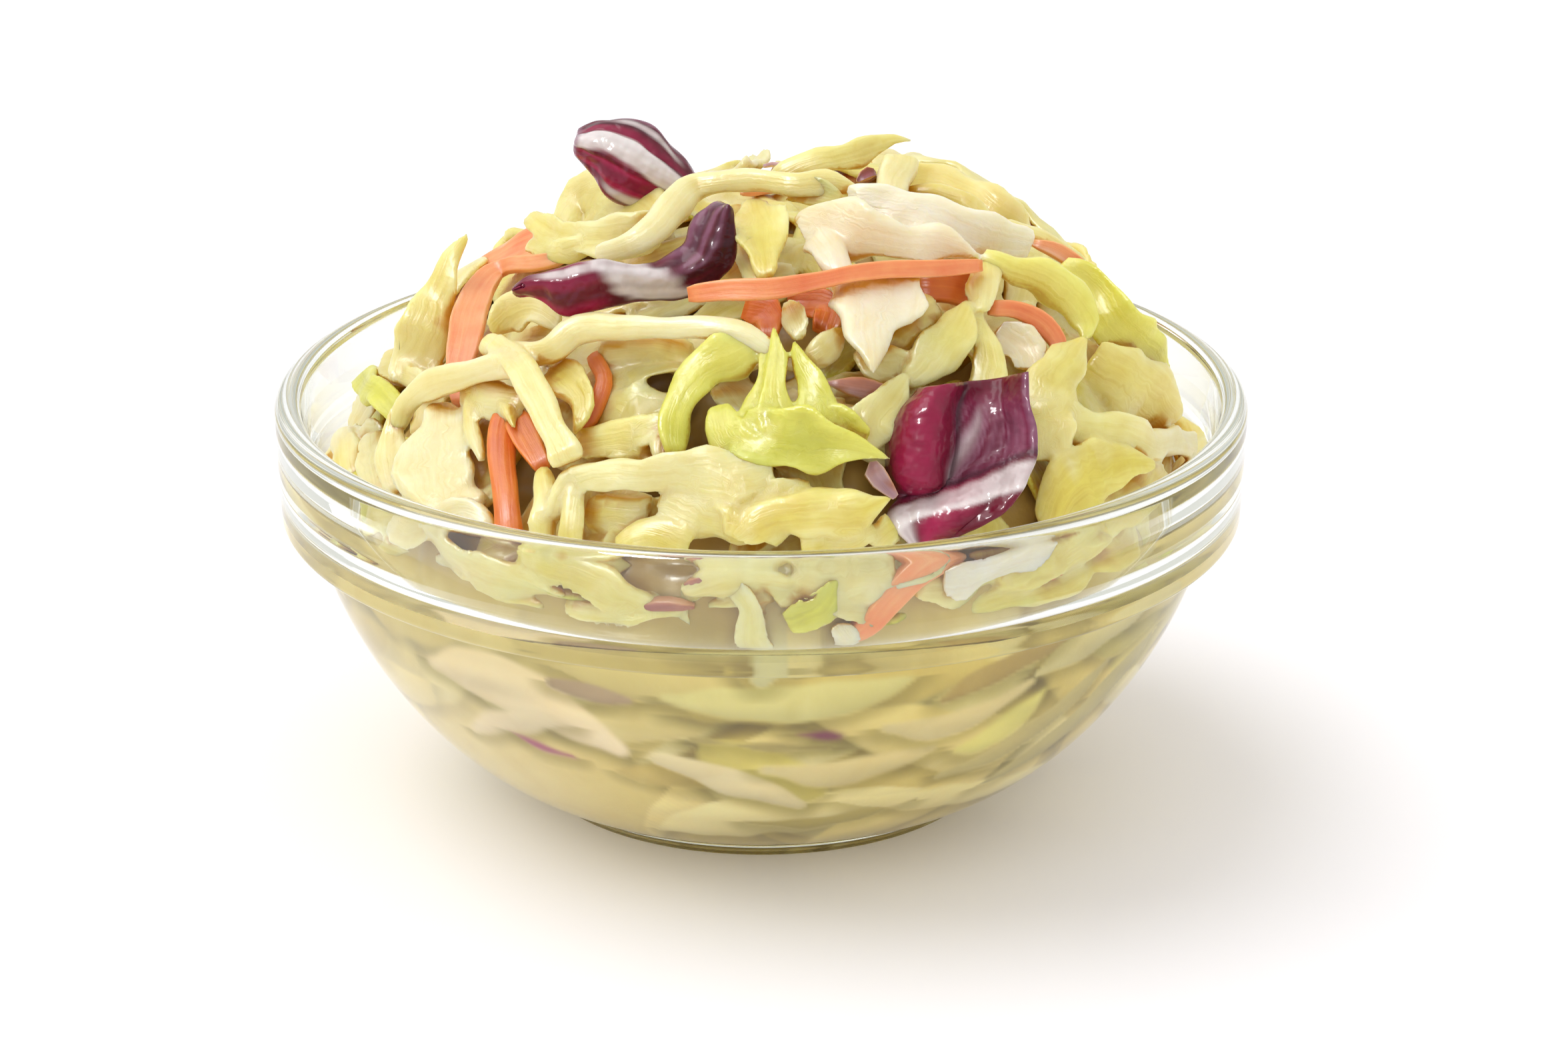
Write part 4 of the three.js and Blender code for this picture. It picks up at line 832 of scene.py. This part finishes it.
    ("leaf", 2, 0.8, [(-22, -51.5, 0.5, 4), (-18.5, -53, 0.6, 4.5), (-14.5, -54, 0.4, 4.5)]),
]
for i, (kind, thick, facing, rows) in enumerate(shown):
    kinds_laid[kind].append((shred(rows, thick, facing), SHOWN_SEED + i))

# Shreds that hang between the heap and the glass, from the rim down to where the dressing wets it, by
# rows of (turn, height, distance from the wall, width).
hanging = [
    ("strand", [(-3, 46, 1.2, 3), (-1, 43, 0.5, 3.6), (-1, 39, 0.3, 4.4), (0, 36, 0.4, 3),
        (-1, 34.5, 0.8, 1.5)]),
    ("carrot", [(10, 38, 1.0, 2), (13, 41, 0.4, 2.6), (16, 44.5, 0.5, 3.2), (20, 47, 1, 3.4),
        (25, 48, 2, 3)]),
    ("white", [(9, 41, 0.8, 3), (10, 38, 0.4, 3.4), (9, 35.5, 0.6, 2)]),
    ("leaf", [(-9, 44.5, 1, 2), (-5, 46, 0.8, 4.4), (0, 46.5, 0.8, 4.8), (4, 46, 1, 2)]),
    ("leaf", [(4, 47, 1.2, 5), (8, 46, 0.6, 7), (12, 46.5, 0.8, 6), (16, 47, 1.2, 3)]),
    ("lime", [(9, 46.5, 0.5, 3), (7, 43.5, 0.3, 4.6), (3, 41.5, 0.5, 3)]),
    ("leaf", [(-44, 46, 1, 3), (-37, 44.5, 0.6, 5.5), (-30, 43.5, 0.8, 5), (-24, 42, 1.2, 2)]),
    ("leaf", [(-30, 46.5, 1, 3), (-23, 46, 0.6, 5), (-17, 44, 0.8, 5.5), (-12, 41.5, 1, 1.5)]),
    ("leaf", [(-24, 40.5, 1.2, 1.5), (-18, 41, 0.8, 4), (-12, 42.5, 1.6, 3.5), (-7, 44.5, 2, 1.5)]),
    ("white", [(22, 45, 1, 3), (26, 45.5, 0.6, 5), (32, 46, 0.8, 4), (37, 46.5, 1.2, 2)]),
    ("leaf", [(30, 43, 1.4, 2.5), (37, 44.5, 1, 5.5), (45, 45.5, 1, 5), (53, 46.5, 1.4, 2)]),
    ("leaf", [(26, 40, 2, 1.5), (32, 41, 1.2, 3.5), (39, 40.5, 1, 4), (46, 41, 1.6, 2)]),
    ("mauve", [(-15, 42, 1.4, 0.8), (-11.5, 42.8, 0.9, 1.8), (-8, 42.6, 1.3, 0.8)]),
    ("mauve", [(-9, 45.5, 0.9, 0.5), (-7.5, 46.4, 0.7, 0.8), (-5, 46.6, 0.8, 0.5)]),
    ("carrot", [(-39, 37, 1.4, 1), (-34, 36.2, 0.8, 1.8), (-28, 35.8, 1.2, 0.8)]),
]
for i in range(HANGING):
    draw = np.random.default_rng(HANGING_SEED + i)
    at_turn, at_height = 360 * i / HANGING + draw.uniform(-3, 3), draw.uniform(37.5, 44.5)
    reach, slope = draw.uniform(5, 11), draw.uniform(-0.35, 0.35)
    inset, width = draw.uniform(0.7, 4.6, 3), draw.uniform(2.5, 5.5)
    route = [(at_turn + end * reach, at_height + end * reach * slope, inset[k], width * (0.4, 1, 0.6)[k])
             for k, end in enumerate((-1, 0, 1))]
    kind = "lime" if i % 7 == 3 else "carrot" if i % 23 == 6 else "leaf"
    laid = wall_shred(route, thick=1.8, roll=draw.normal(0, 0.7))
    kinds_laid[kind].append((laid, HANGING_SEED + i))
for i, (kind, rows) in enumerate(hanging):
    laid = wall_shred(rows, thick=1.7, roll=0.4 * (i % 3 - 1))
    kinds_laid[kind].append((laid, WALL_SEED + i))

HEART_LEAF = np.array([1.0, 0.98, 1.05])
OUTER_LEAF = np.array([0.97, 0.975, 0.74])
LOW_LEAF = np.array([0, 0.03, 0.12])  # how much yellower the leaf is that lies low in the bowl


def greener(tint, places):
    """The tint with the slow drift between pale heart leaf and greener outer leaf."""
    x, y, z = places.T
    drift = np.clip(0.5 + x / 200 + lumps(0.6, 5, 94, x, y, z), 0, 1)[:, None]
    tint = tint * (1 - ease(z, 50, 45)[:, None] * LOW_LEAF)
    return tint * (HEART_LEAF * (1 - drift) + OUTER_LEAF * drift)


def strips_of(kinds, ruffle=0.8, sides=16, square=0.45):
    """Joins the strips of some kinds: corners, faces, and for each corner a tint and its grain, which is
    the way along and across its strip and a number of the strip's own."""
    corners, faces, grains, colours = [], [], [], []
    count = 0
    for kind in kinds:
        for laid, seed in kinds_laid[kind]:
            strip_corners, strip_faces, where = solid_strip(laid, seed, PLUMP[kind], sides, ruffle, square)
            far, offset, share, edge = where.T
            draw = np.random.default_rng(seed)
            first, second = (tints[kind][k] for k in draw.integers(0, len(tints[kind]), 2))
            mix = share[:, None] ** draw.uniform(0.7, 1.6)
            tint = (np.array(first) * (1 - mix) + np.array(second) * mix) * draw.uniform(0.885, 0.985)
            # The thin edges are paler: partly the cut flesh, partly a painted highlight.
            paler = 0.5 * edge[:, None] ** 6
            tint = tint * (1 - paler) + np.array(EDGE_PALE_AND_HIGHLIGHT[kind]) * paler
            if kind in ("leaf", "lime"):
                tint[:, :3] = greener(tint[:, :3], strip_corners)
            corners.append(strip_corners)
            faces += [tuple(count + k for k in face) for face in strip_faces]
            grains.append(np.column_stack([far, offset, np.full(len(far), seed % 97 * 5.0)]))
            colours.append(tint[:, :3])
            count += len(strip_corners)
    return np.vstack(corners), faces, np.vstack(colours), np.vstack(grains)


def openness(places, normals):
    """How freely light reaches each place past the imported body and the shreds, 0 to 1."""
    tilted = [np.zeros(3)] + [2.0 * unit(np.array([math.cos(k), math.sin(k), 0.5])) for k in range(6)]
    free = np.zeros(len(places))
    for lean in tilted:
        headings = unit(normals + lean * 0.7)
        for i, (place, heading) in enumerate(zip(places + normals * 0.7, headings)):
            distance = around.ray_cast(place, heading, FAR)[3]
            free[i] += 1 if distance is None else distance / FAR
    return free / len(tilted)


def crease_shaded(tint, places, normals, crease, strength):
    """The tint with a warmer, darker painted shade in the creases, where less light reaches, and full alpha.
    """
    shut = np.clip((0.8 - openness(places, normals)) * strength, 0, 0.95)[:, None]
    return np.column_stack([tint * (1 - shut) + tint * np.array(crease[:3]) * shut, np.ones(len(tint))])


def corner_normals(corners, faces):
    """Outward normals at the corners of closed strips."""
    normals = np.zeros(corners.shape)
    for sides in (3, 4):
        some = np.array([face for face in faces if len(face) == sides])
        across = corners[some[:, 2]] - corners[some[:, 0]]
        turned_normal = np.cross(corners[some[:, 1]] - corners[some[:, -1]], across)
        for k in range(sides):
            np.add.at(normals, some[:, k], turned_normal)
    return unit(normals)


FAR = 9.0  # what lies further off than this casts no shade in a crease
# Colour of the painted shade in the creases.
CREASE_SHADE = srgb(222, 176, 58)
all_corners, all_faces, _, _ = strips_of(tuple(tints))
body_part = body_faces(BODY_SIDES, rows_down)
all_faces += [tuple(len(all_corners) + k for k in face) for face in body_part]
around = BVHTree.FromPolygons(np.vstack([all_corners, body_corners]).tolist(), all_faces)


def melted(name, kinds, material, voxel, faces_kept, ruffle):
    """One skin over all the strips of some kinds, with rounded joints, tinted by the nearest strip."""
    corners, faces, colours, grains = strips_of(kinds, ruffle=ruffle)
    loose = bpy.data.meshes.new(name)
    loose.from_pydata((corners * MM).tolist(), [], faces)
    holder = bpy.data.objects.new(name + "_loose", loose)
    bpy.context.scene.collection.objects.link(holder)
    remesh = holder.modifiers.new("skin", "REMESH")
    remesh.mode, remesh.voxel_size, remesh.adaptivity = "VOXEL", voxel * MM, 0.0
    smooth = holder.modifiers.new("soften", "SMOOTH")
    smooth.factor, smooth.iterations = 0.5, 1
    thin_out = holder.modifiers.new("thin_out", "DECIMATE")
    thin_out.ratio = faces_kept
    bpy.context.view_layer.update()
    skin = bpy.data.meshes.new_from_object(holder.evaluated_get(bpy.context.evaluated_depsgraph_get()))
    bpy.data.objects.remove(holder)
    skin_corners = np.empty(len(skin.vertices) * 3, dtype=np.float32)
    skin.vertices.foreach_get("co", skin_corners)
    skin_corners = skin_corners.reshape(-1, 3) / MM
    tree = kdtree.KDTree(len(corners))
    for i, corner in enumerate(corners):
        tree.insert(corner, i)
    tree.balance()
    nearest = np.array([[found[1] for found in tree.find_n(corner, 5)] for corner in skin_corners])
    tint = colours[nearest].mean(axis=1)
    same_strip = grains[nearest, 2] == grains[nearest[:, :1], 2]
    weight = same_strip / (0.1 + np.linalg.norm(corners[nearest] - skin_corners[:, None], axis=2) ** 2)
    grain = (grains[nearest] * weight[..., None]).sum(axis=1) / weight.sum(axis=1)[:, None]
    normals = np.empty(len(skin.vertices) * 3, dtype=np.float32)
    skin.vertex_normals.foreach_get("vector", normals)
    normals = normals.reshape(-1, 3)
    uneven = lumps(0.14, 2.2, 71, *skin_corners.T) + lumps(0.06, 1, 72, *skin_corners.T)
    uneven += 0.09 * ruffle * ripple(73, grain[:, 0] / 6, grain[:, 1] / 0.5)
    lumpy = skin_corners + normals * uneven[:, None]
    skin.vertices.foreach_set("co", (lumpy * MM).astype(np.float32).ravel())
    # Its tint carries a painted shade in the creases.
    piece = finish_mesh(name, skin, material, {
        "tint": crease_shaded(tint, skin_corners, normals, CREASE_SHADE, 2.7), "grain": grain})
    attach(piece, "root")
    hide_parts("slaw")


def leaf_material(name, roughness, depth, coat):
    """Wet cut leaf: its own tint with fibres and clouds in it, light that soaks in, a satin coat."""
    material, node = new_material(name)
    tint = node("ShaderNodeAttribute", attribute_name="tint").outputs["Color"]
    grain = node("ShaderNodeAttribute", attribute_name="grain").outputs["Vector"]
    stretched = node("ShaderNodeVectorMath", {0: grain, 1: (0.1, 1.5, 1.0)}, operation="MULTIPLY")
    fibres = node("ShaderNodeTexNoise", {"Vector": stretched.outputs[0], "Scale": 1.0, "Detail": 3.0})
    fibres = fibres.outputs["Fac"]
    mottled = node("ShaderNodeGroup", {"Tint": soft_light(node, 0.55, tint, fibres), "Share": 0.6,
                                       "Cloud Scale": 260.0, "Cloud Detail": 4.0, "Grain Scale": 1600.0},
                   node_tree=wet_mottle).outputs
    pores = node("ShaderNodeBump", {"Height": mottled["Grain"], "Strength": 0.16, "Distance": 0.0003})
    ridges = node("ShaderNodeBump", {"Height": fibres, "Normal": pores.outputs[0], "Strength": 0.3,
                                     "Distance": 0.0005})
    rough = node("ShaderNodeMapRange", {"Value": mottled["Clouds"], "From Min": 0.3, "From Max": 0.7,
                                        "To Min": roughness - 0.08, "To Max": roughness + 0.1})
    flesh = node("ShaderNodeBsdfPrincipled", {
        "Base Color": mottled["Tint"], "Roughness": rough.outputs[0], "Normal": ridges.outputs[0],
        "Subsurface Weight": 0.68, "Subsurface Radius": (1.0, 0.8, 0.35), "Subsurface Scale": depth,
        "Coat Weight": coat, "Coat Roughness": 0.28})
    node("ShaderNodeOutputMaterial", {"Surface": flesh.outputs[0]})
    return material


wet_cabbage = leaf_material("wet_cabbage", roughness=0.4, depth=0.0026, coat=0.22)
melted("cabbage_leaf", ("leaf",), wet_cabbage, voxel=0.36, faces_kept=0.22, ruffle=0.8)
melted("cabbage_hearts", ("lime", "white"), wet_cabbage, voxel=0.3, faces_kept=0.5, ruffle=0.8)

# ---------------------------------------------------------------- cabbage ribs
# The long ivory strands are cut from the thick ribs of the same leaves: stiffer and rounder than leaf.
# They bridge the heap in one wet skin of their own.

melted("cabbage_ribs", ("strand",), wet_cabbage, voxel=0.3, faces_kept=0.5, ruffle=0.4)

# ---------------------------------------------------------------- carrot strips
# Raw carrot from the same disc: salmon orange under the dressing, denser than leaf, with fine
# lines along the root.

carrot_kinds = ("carrot", "deep_carrot", "mauve")
carrot_corners, carrot_faces, carrot_tint, carrot_grain = strips_of(
    carrot_kinds, ruffle=0.2, sides=20, square=0.35)
carrot_normals = corner_normals(carrot_corners, carrot_faces)
# The carrots get a painted shade in their creases too.
carrot_tint = crease_shaded(carrot_tint, carrot_corners, carrot_normals, srgb(250, 206, 160), 1.6)
wet_carrot = leaf_material("wet_carrot", roughness=0.45, depth=0.001, coat=0.12)
carrots = make_mesh("carrot_strips", carrot_corners, carrot_faces, wet_carrot,
                    {"tint": carrot_tint, "grain": carrot_grain})
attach(carrots, "root")
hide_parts("slaw")

# ---------------------------------------------------------------- red cabbage
# Three whole bits of red cabbage leaf, torn and curled, laid on top of the heap: a purple wet skin
# over white flesh, which shows where the skin is folded, cut or thin.

UPWARD = np.array([0, 0.36, 0.93])
RIGHT = np.array([1.0, 0, 0])
SHEET_ROWS = 80
SHEET_COLUMNS = 48


def between(x, low, high, soft):
    """1 between two places and 0 outside them, with soft ends."""
    return ease(x, low - soft, low + soft) * (1 - ease(x, high - soft, high + soft))


def mix(first, second, share):
    """The first colour with a share of the second in it."""
    return first * (1 - share[..., None]) + np.asarray(second)[..., :3] * share[..., None]


def sheet_normal(middle):
    """Normals of a grid of places."""
    return unit(np.cross(np.gradient(middle, axis=0), np.gradient(middle, axis=1)))


def leaf_sheet(place, first_edge, second_edge, relief, thick):
    """A curled bit of leaf between two edges, each (right, up) on a plane that faces the front.
    Gives the corners and faces of the closed sheet, and u across and v along at each corner."""
    rows, columns = SHEET_ROWS, SHEET_COLUMNS
    lines = [curve_through(np.pad(np.array(edge, float), ((0, 0), (0, 1))), rows)[0]
             for edge in (first_edge, second_edge)]
    u, v = np.meshgrid(np.linspace(0, 1, columns), np.linspace(0, 1, rows))
    flat = lines[0][:, None] * (1 - u[..., None]) + lines[1][:, None] * u[..., None]
    origin = on_skin(*[np.array(float(n)) for n in place])
    middle = origin + flat[..., :1] * RIGHT + flat[..., 1:2] * UPWARD + relief(u, v)[..., None] * unit(FRONT)
    xyz = [middle[..., k] for k in range(3)]
    wrinkles = lumps(0.22, 1.6, 95, *xyz) + lumps(0.1, 0.6, 96, *xyz)
    middle = middle + sheet_normal(middle) * wrinkles[..., None]
    normal = sheet_normal(middle)
    # Full thickness from an eighth of the width and a fourteenth of the length inside the edges.
    border = np.minimum(np.minimum(u, 1 - u) * 8, np.minimum(v, 1 - v) * 14)
    half = thick / 2 * np.sqrt(np.clip(1 - (1 - np.minimum(border, 1)) ** 2, 0.05, 1))
    faces_of = []
    corners = np.vstack([(middle + normal * half[..., None]).reshape(-1, 3),
                         (middle - normal * half[..., None]).reshape(-1, 3)])
    under = rows * columns
    for r in range(rows - 1):
        for c in range(columns - 1):
            k = r * columns + c
            faces_of.append((k, k + 1, k + columns + 1, k + columns))
            faces_of.append((under + k, under + k + columns, under + k + columns + 1, under + k + 1))
    ring = (list(range(columns)) + [r * columns + columns - 1 for r in range(1, rows)]
            + [(rows - 1) * columns + c for c in range(columns - 2, -1, -1)]
            + [r * columns for r in range(rows - 2, 0, -1)])
    for k, n in zip(ring, ring[1:] + ring[:1]):
        faces_of.append((n, k, under + k, under + n))
    return corners, faces_of, u, v


PLUM = srgb(108, 8, 38)
MAGENTA = srgb(172, 22, 76)
# Greyish mauve: the leaf's grey edges and streaks, and a painted highlight on the ribbon's crest.
MAUVE = srgb(142, 88, 114)
RIB = srgb(248, 240, 236)
# Darkest purple: the skin's dark streaks, and painted shade in its folds.
NIGHT = srgb(52, 4, 22)
WORN_PLUM = srgb(126, 32, 66)
VEIN = srgb(172, 118, 140)


def stripes(seed, across, along, count):
    """Fine streaks that run along a leaf, 0 to 1."""
    return (0.5 + 0.6 * ripple(seed, across * count, along * 2.0)).clip(0, 1)


def flat_tint(colour, u):
    """One colour for the whole of a sheet."""
    return np.tile(np.array(colour[:3]), u.shape + (1,))


# For each bit: how far it stands out from its plane, and its colours, with painted shade in its folds and a
# painted highlight on the ribbon's crest, by u across and v along.
def cap_relief(u, v):
    return 2.9 * np.sin(math.pi * u) ** 0.8 - 1.6 * (2 * v - 1) ** 2 + 0.5 * between(u, 0.36, 0.6, 0.05)


def cap_tint(u, v):
    tint = mix(flat_tint(PLUM, u), MAGENTA, stripes(81, u, v, 30))
    tint = mix(tint, NIGHT, 0.7 * stripes(91, u, v, 44) ** 2)
    bent = u + 0.06 * np.sin(v * 4)
    tint = mix(tint, RIB, between(bent, 0.36, 0.6, 0.02) * (0.8 + 0.2 * stripes(86, u, v, 60)))
    tint = mix(tint, RIB, 0.65 * between(bent, 0.13, 0.19, 0.02) * between(v, 0.3, 0.8, 0.1))
    tint = mix(tint, RIB, 0.8 * stripes(87, u, v, 34) * between(u, 0.84, 0.98, 0.03) * ease(v, 0.3, 0.5))
    tint = mix(tint, MAUVE, 0.7 * (1 - ease(v, 0.02, 0.08)))
    return mix(tint, MAUVE, 0.8 * (1 - ease(u, 0.02, 0.06)))


def ribbon_relief(u, v):
    crest = 0.3 + 0.3 * ease(v, 0.45, 0.8)
    ridge = 1.03 - np.sqrt((u - crest) ** 2 + 0.004) / np.maximum(crest, 1 - crest)
    return 2.6 * ridge + 1.6 * np.sin(2 * math.pi * v) - 2.0 * ease(v, 0.7, 1) * (1 - u)


def ribbon_tint(u, v):
    crest = 0.3 + 0.3 * ease(v, 0.45, 0.8)
    tint = mix(flat_tint(PLUM, u), NIGHT, 0.75 * stripes(92, u, v, 26) * ease(v, 0.3, 0.5))
    tint = mix(tint, MAGENTA, between(v, 0.03, 0.34, 0.05) * stripes(82, u, v, 12))
    ragged = v - 0.16 * u + 0.05 * stripes(99, u, v, 18)
    tint = mix(tint, RIB, 0.9 * between(ragged, 0.33, 0.56, 0.03) * between(u, 0.03, 0.9, 0.05)
               * (0.75 + 0.25 * stripes(83, u, v, 30)))
    tint = mix(tint, RIB, 0.7 * between(v, 0.12, 0.34, 0.05) * between(u, 0.1, 0.26, 0.04))
    tint = mix(tint, MAUVE, 0.8 * stripes(88, u, v, 34) * ease(v, 0.6, 0.7) * (1 - ease(u, 0.5, 0.6)))
    # A painted highlight along the crest of the fold, and painted shade just past it.
    tint = mix(tint, MAUVE, 0.6 * line_at(u, crest, 0.03) * ease(v, 0.6, 0.7))
    tint = mix(tint, NIGHT, 0.8 * line_at(u, crest + 0.12, 0.06) * ease(v, 0.6, 0.75))
    return mix(tint, MAUVE, 0.6 * between(v, 0.1, 0.5, 0.05) * ease(u, 0.93, 0.99))


LIP_SLANT = 0.38


def fold_relief(u, v):
    roll = 4.2 * np.sin(math.pi * np.clip(u / 0.4, 0, 1)) ** 0.6 * (1 - ease(v, 0.52, 0.62))
    dish = -2.8 * np.sin(math.pi * np.clip((u - 0.4) / 0.6, 0, 1)) * (1 - ease(v + LIP_SLANT * u, 0.62, 0.8))
    lip = 3.2 * np.sin(math.pi * np.clip((v + LIP_SLANT * u - 0.7) / 0.56, 0, 1)) ** 0.8
    return roll + dish + lip - 1.5 * (1 - ease(v, 0, 0.2)) + 1.4 * ease(u, 0.8, 1)


def fold_tint(u, v):
    roll = (1 - ease(u, 0.37, 0.41)) * (1 - ease(v, 0.56, 0.62))
    slant = v + LIP_SLANT * u
    fan = (u - 0.95) / (v + 0.35)
    veins = 0.68 * stripes(84, fan, v * 0.5, 80) * ease(v, 0.04, 0.3)
    tint = mix(flat_tint(WORN_PLUM, u), VEIN, veins)
    tint = mix(tint, RIB, 0.5 * line_at(fan, -0.66, 0.08) * between(v, 0.18, 0.6, 0.08))
    tint = mix(tint, PLUM, 0.9 * (1 - ease(v, 0.04, 0.16)))
    # Painted shade in the fold between the roll and the dish.
    tint = mix(tint, NIGHT, 0.85 * line_at(u, 0.43, 0.035) * (1 - ease(v, 0.55, 0.62)))
    tint = mix(tint, MAUVE, 0.7 * ease(u, 0.95, 0.99))
    rolled = mix(flat_tint(PLUM, u), MAGENTA, 0.8 * stripes(89, u, v, 9) * between(u, 0.08, 0.3, 0.06))
    tint = mix(tint, rolled, roll)
    lip = mix(flat_tint(PLUM, u), MAGENTA, stripes(98, u * 0.4, slant, 14) * ease(u, 0.3, 0.5))
    lip = mix(lip, RIB, 0.95 * between(slant, 0.78, 0.92, 0.02) * (0.6 + 0.4 * stripes(85, slant, u, 34)))
    torn = 0.9 * ease(v, 0.76, 0.84) * (1 - ease(u, 0.2, 0.4))
    lip = mix(lip, RIB, torn * (0.6 + 0.4 * stripes(90, u, v, 30)))
    tint = mix(tint, lip, ease(slant, 0.73, 0.77))
    # Painted shade under the fold of the lip.
    return mix(tint, NIGHT, 0.8 * line_at(slant, 0.74, 0.02) * ease(u, 0.2, 0.35))


# The three bits: a node, the place of its middle as (a, b, level), its thickness, its two edges as
# (right, up), and the functions above.
red_leaves = [
    ("red_cabbage_cap", (-13.5, -3, 8.2), 1.1,
     [(-6.7, 4.2), (-5, 5), (-2, 5.6), (1.5, 5.2), (4, 3.2), (6.6, 0.5), (7.6, -1.6)],
     [(-7.4, 1.8), (-6, 0.2), (-4.5, -1.2), (-3, -3.5), (0, -4.7), (3, -5), (5, -4.2)], cap_relief, cap_tint),
    ("red_cabbage_ribbon", (-14, -25, 5.2), 1.0,
     [(-13, -1), (-10.5, 0.5), (-7, 1.5), (-2.5, 2.5), (2.5, 2), (6.5, 4.5), (7.5, 7), (9.5, 9), (11.5, 9.5)],
     [(-13, -1.3), (-10, -1.6), (-6.8, -4), (-2.5, -3.2), (2.5, -2.2), (8, -1.5), (11.5, 0.8), (13, 3.5),
      (12.6, 8.6)],
     ribbon_relief, ribbon_tint),
    ("red_cabbage_leaf", (23, -47.5, 3.6), 1.1,
     [(-4.5, 8.5), (-7, 5.5), (-8, 2), (-8, -1.5), (-7, -4), (-8, -5.5), (-8, -7), (-5.5, -9.5)],
     [(8, 10.5), (8, 7), (9, 4), (9, 1), (8, -1.5), (7, -3.5), (4, -6.5), (-3, -9.5)],
     fold_relief, fold_tint),
]
purple_leaf, node = new_material("red_cabbage_skin")
tint = node("ShaderNodeAttribute", attribute_name="tint").outputs["Color"]
mottled = node("ShaderNodeGroup", {"Tint": tint, "Share": 0.4, "Cloud Scale": 500.0, "Cloud Detail": 4.0},
               node_tree=wet_mottle).outputs
place = node("ShaderNodeTexCoord").outputs["Object"]
drops = node("ShaderNodeTexNoise", {"Vector": place, "Scale": 600.0, "Detail": 1.0})
bump = node("ShaderNodeBump", {"Height": drops.outputs["Fac"], "Strength": 0.6, "Distance": 0.0008})
skin = node("ShaderNodeBsdfPrincipled", {
    "Base Color": mottled["Tint"], "Roughness": 0.42, "Specular IOR Level": 0.2, "Normal": bump.outputs[0],
    "Subsurface Weight": 0.15, "Subsurface Radius": (1.0, 0.4, 0.5), "Subsurface Scale": 0.0008,
    "Coat Weight": 0.8, "Coat IOR": 1.3, "Coat Roughness": 0.08, "Coat Normal": bump.outputs[0]})
node("ShaderNodeOutputMaterial", {"Surface": skin.outputs[0]})
for name, place, thick, first_edge, second_edge, relief, tint_of in red_leaves:
    corners, faces, u, v = leaf_sheet(place, first_edge, second_edge, relief, thick)
    tint = tint_of(u, v).reshape(-1, 3)
    tint = np.column_stack([np.vstack([tint, tint * 0.9]), np.ones(2 * len(tint))])
    piece = make_mesh(name + "_skin", corners, faces, purple_leaf, {"tint": tint})
    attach(piece, "root")
    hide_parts(name)

# ---------------------------------------------------------------- floor, light and camera
# A plain white sweep, a broad lamp high on the left, and soft light from all round that dims
# towards the horizon, so that the clear glass has edges to show.

floor_white, node = new_material("floor_white")
matte = node("ShaderNodeBsdfPrincipled", {"Base Color": (0.98, 0.968, 0.988, 1), "Roughness": 0.9})
node("ShaderNodeOutputMaterial", {"Surface": matte.outputs[0]})
FLOOR_HALF = 4000
FLOOR_LEVEL = -0.02
floor_corners = [(x * FLOOR_HALF, y * FLOOR_HALF, FLOOR_LEVEL)
                 for x, y in ((-1, -1), (1, -1), (1, 1), (-1, 1))]
floor = make_mesh("floor", floor_corners, [(0, 1, 2, 3)], floor_white)

scene = bpy.context.scene
scene.view_settings.view_transform = "Standard"
scene.world = bpy.data.worlds.new("studio")
scene.world.use_nodes = True
node = node_adder(scene.world.node_tree)
way_up = node("ShaderNodeSeparateXYZ", {0: node("ShaderNodeTexCoord").outputs["Generated"]}).outputs["Z"]
sky = node("ShaderNodeValToRGB", {0: way_up})
horizon, overhead = sky.color_ramp.elements
horizon.position, horizon.color = 0.0, (0.66, 0.655, 0.65, 1)
overhead.position, overhead.color = 0.4, (1, 0.99, 1, 1)
background = node("ShaderNodeBackground", {"Color": sky.outputs[0], "Strength": 0.9})
node("ShaderNodeOutputWorld", {"Surface": background.outputs[0]})

KEY_HEADING = Vector((0.48, -0.1, -0.87))  # the way its light falls
GLINT_PLACE = (-0.28, -0.42, 0.62)
sun = bpy.data.lights.new("key_lamp", "SUN")
sun.energy, sun.angle = 1.14, math.radians(42)
holder = bpy.data.objects.new("key_lamp", sun)
holder.rotation_euler = KEY_HEADING.to_track_quat("-Z", "Y").to_euler()
scene.collection.objects.link(holder)

# A small lamp that only shows as bright glints in wet skin and glass.
glint = bpy.data.lights.new("glint_lamp", "AREA")
glint.shape, glint.size, glint.energy = "DISK", 0.2, 6.0
holder = bpy.data.objects.new("glint_lamp", glint)
holder.location = GLINT_PLACE
holder.rotation_euler = (-holder.location).to_track_quat("-Z", "Y").to_euler()
holder.visible_diffuse = False
scene.collection.objects.link(holder)

AIM = Vector((0, 0, 0.0255))
CAMERA_DISTANCE = 0.6
ELEVATION = math.radians(21.05)
camera = bpy.data.cameras.new("camera")
camera.lens, camera.sensor_width = 109.7, 36.0
camera.shift_x, camera.shift_y = 0.0146, 0.0349
camera.clip_start = 0.01
eye = bpy.data.objects.new("camera", camera)
eye.location = AIM + CAMERA_DISTANCE * Vector((0, -math.cos(ELEVATION), math.sin(ELEVATION)))
eye.rotation_euler = (AIM - eye.location).to_track_quat("-Z", "Y").to_euler()
scene.collection.objects.link(eye)
scene.camera = eye
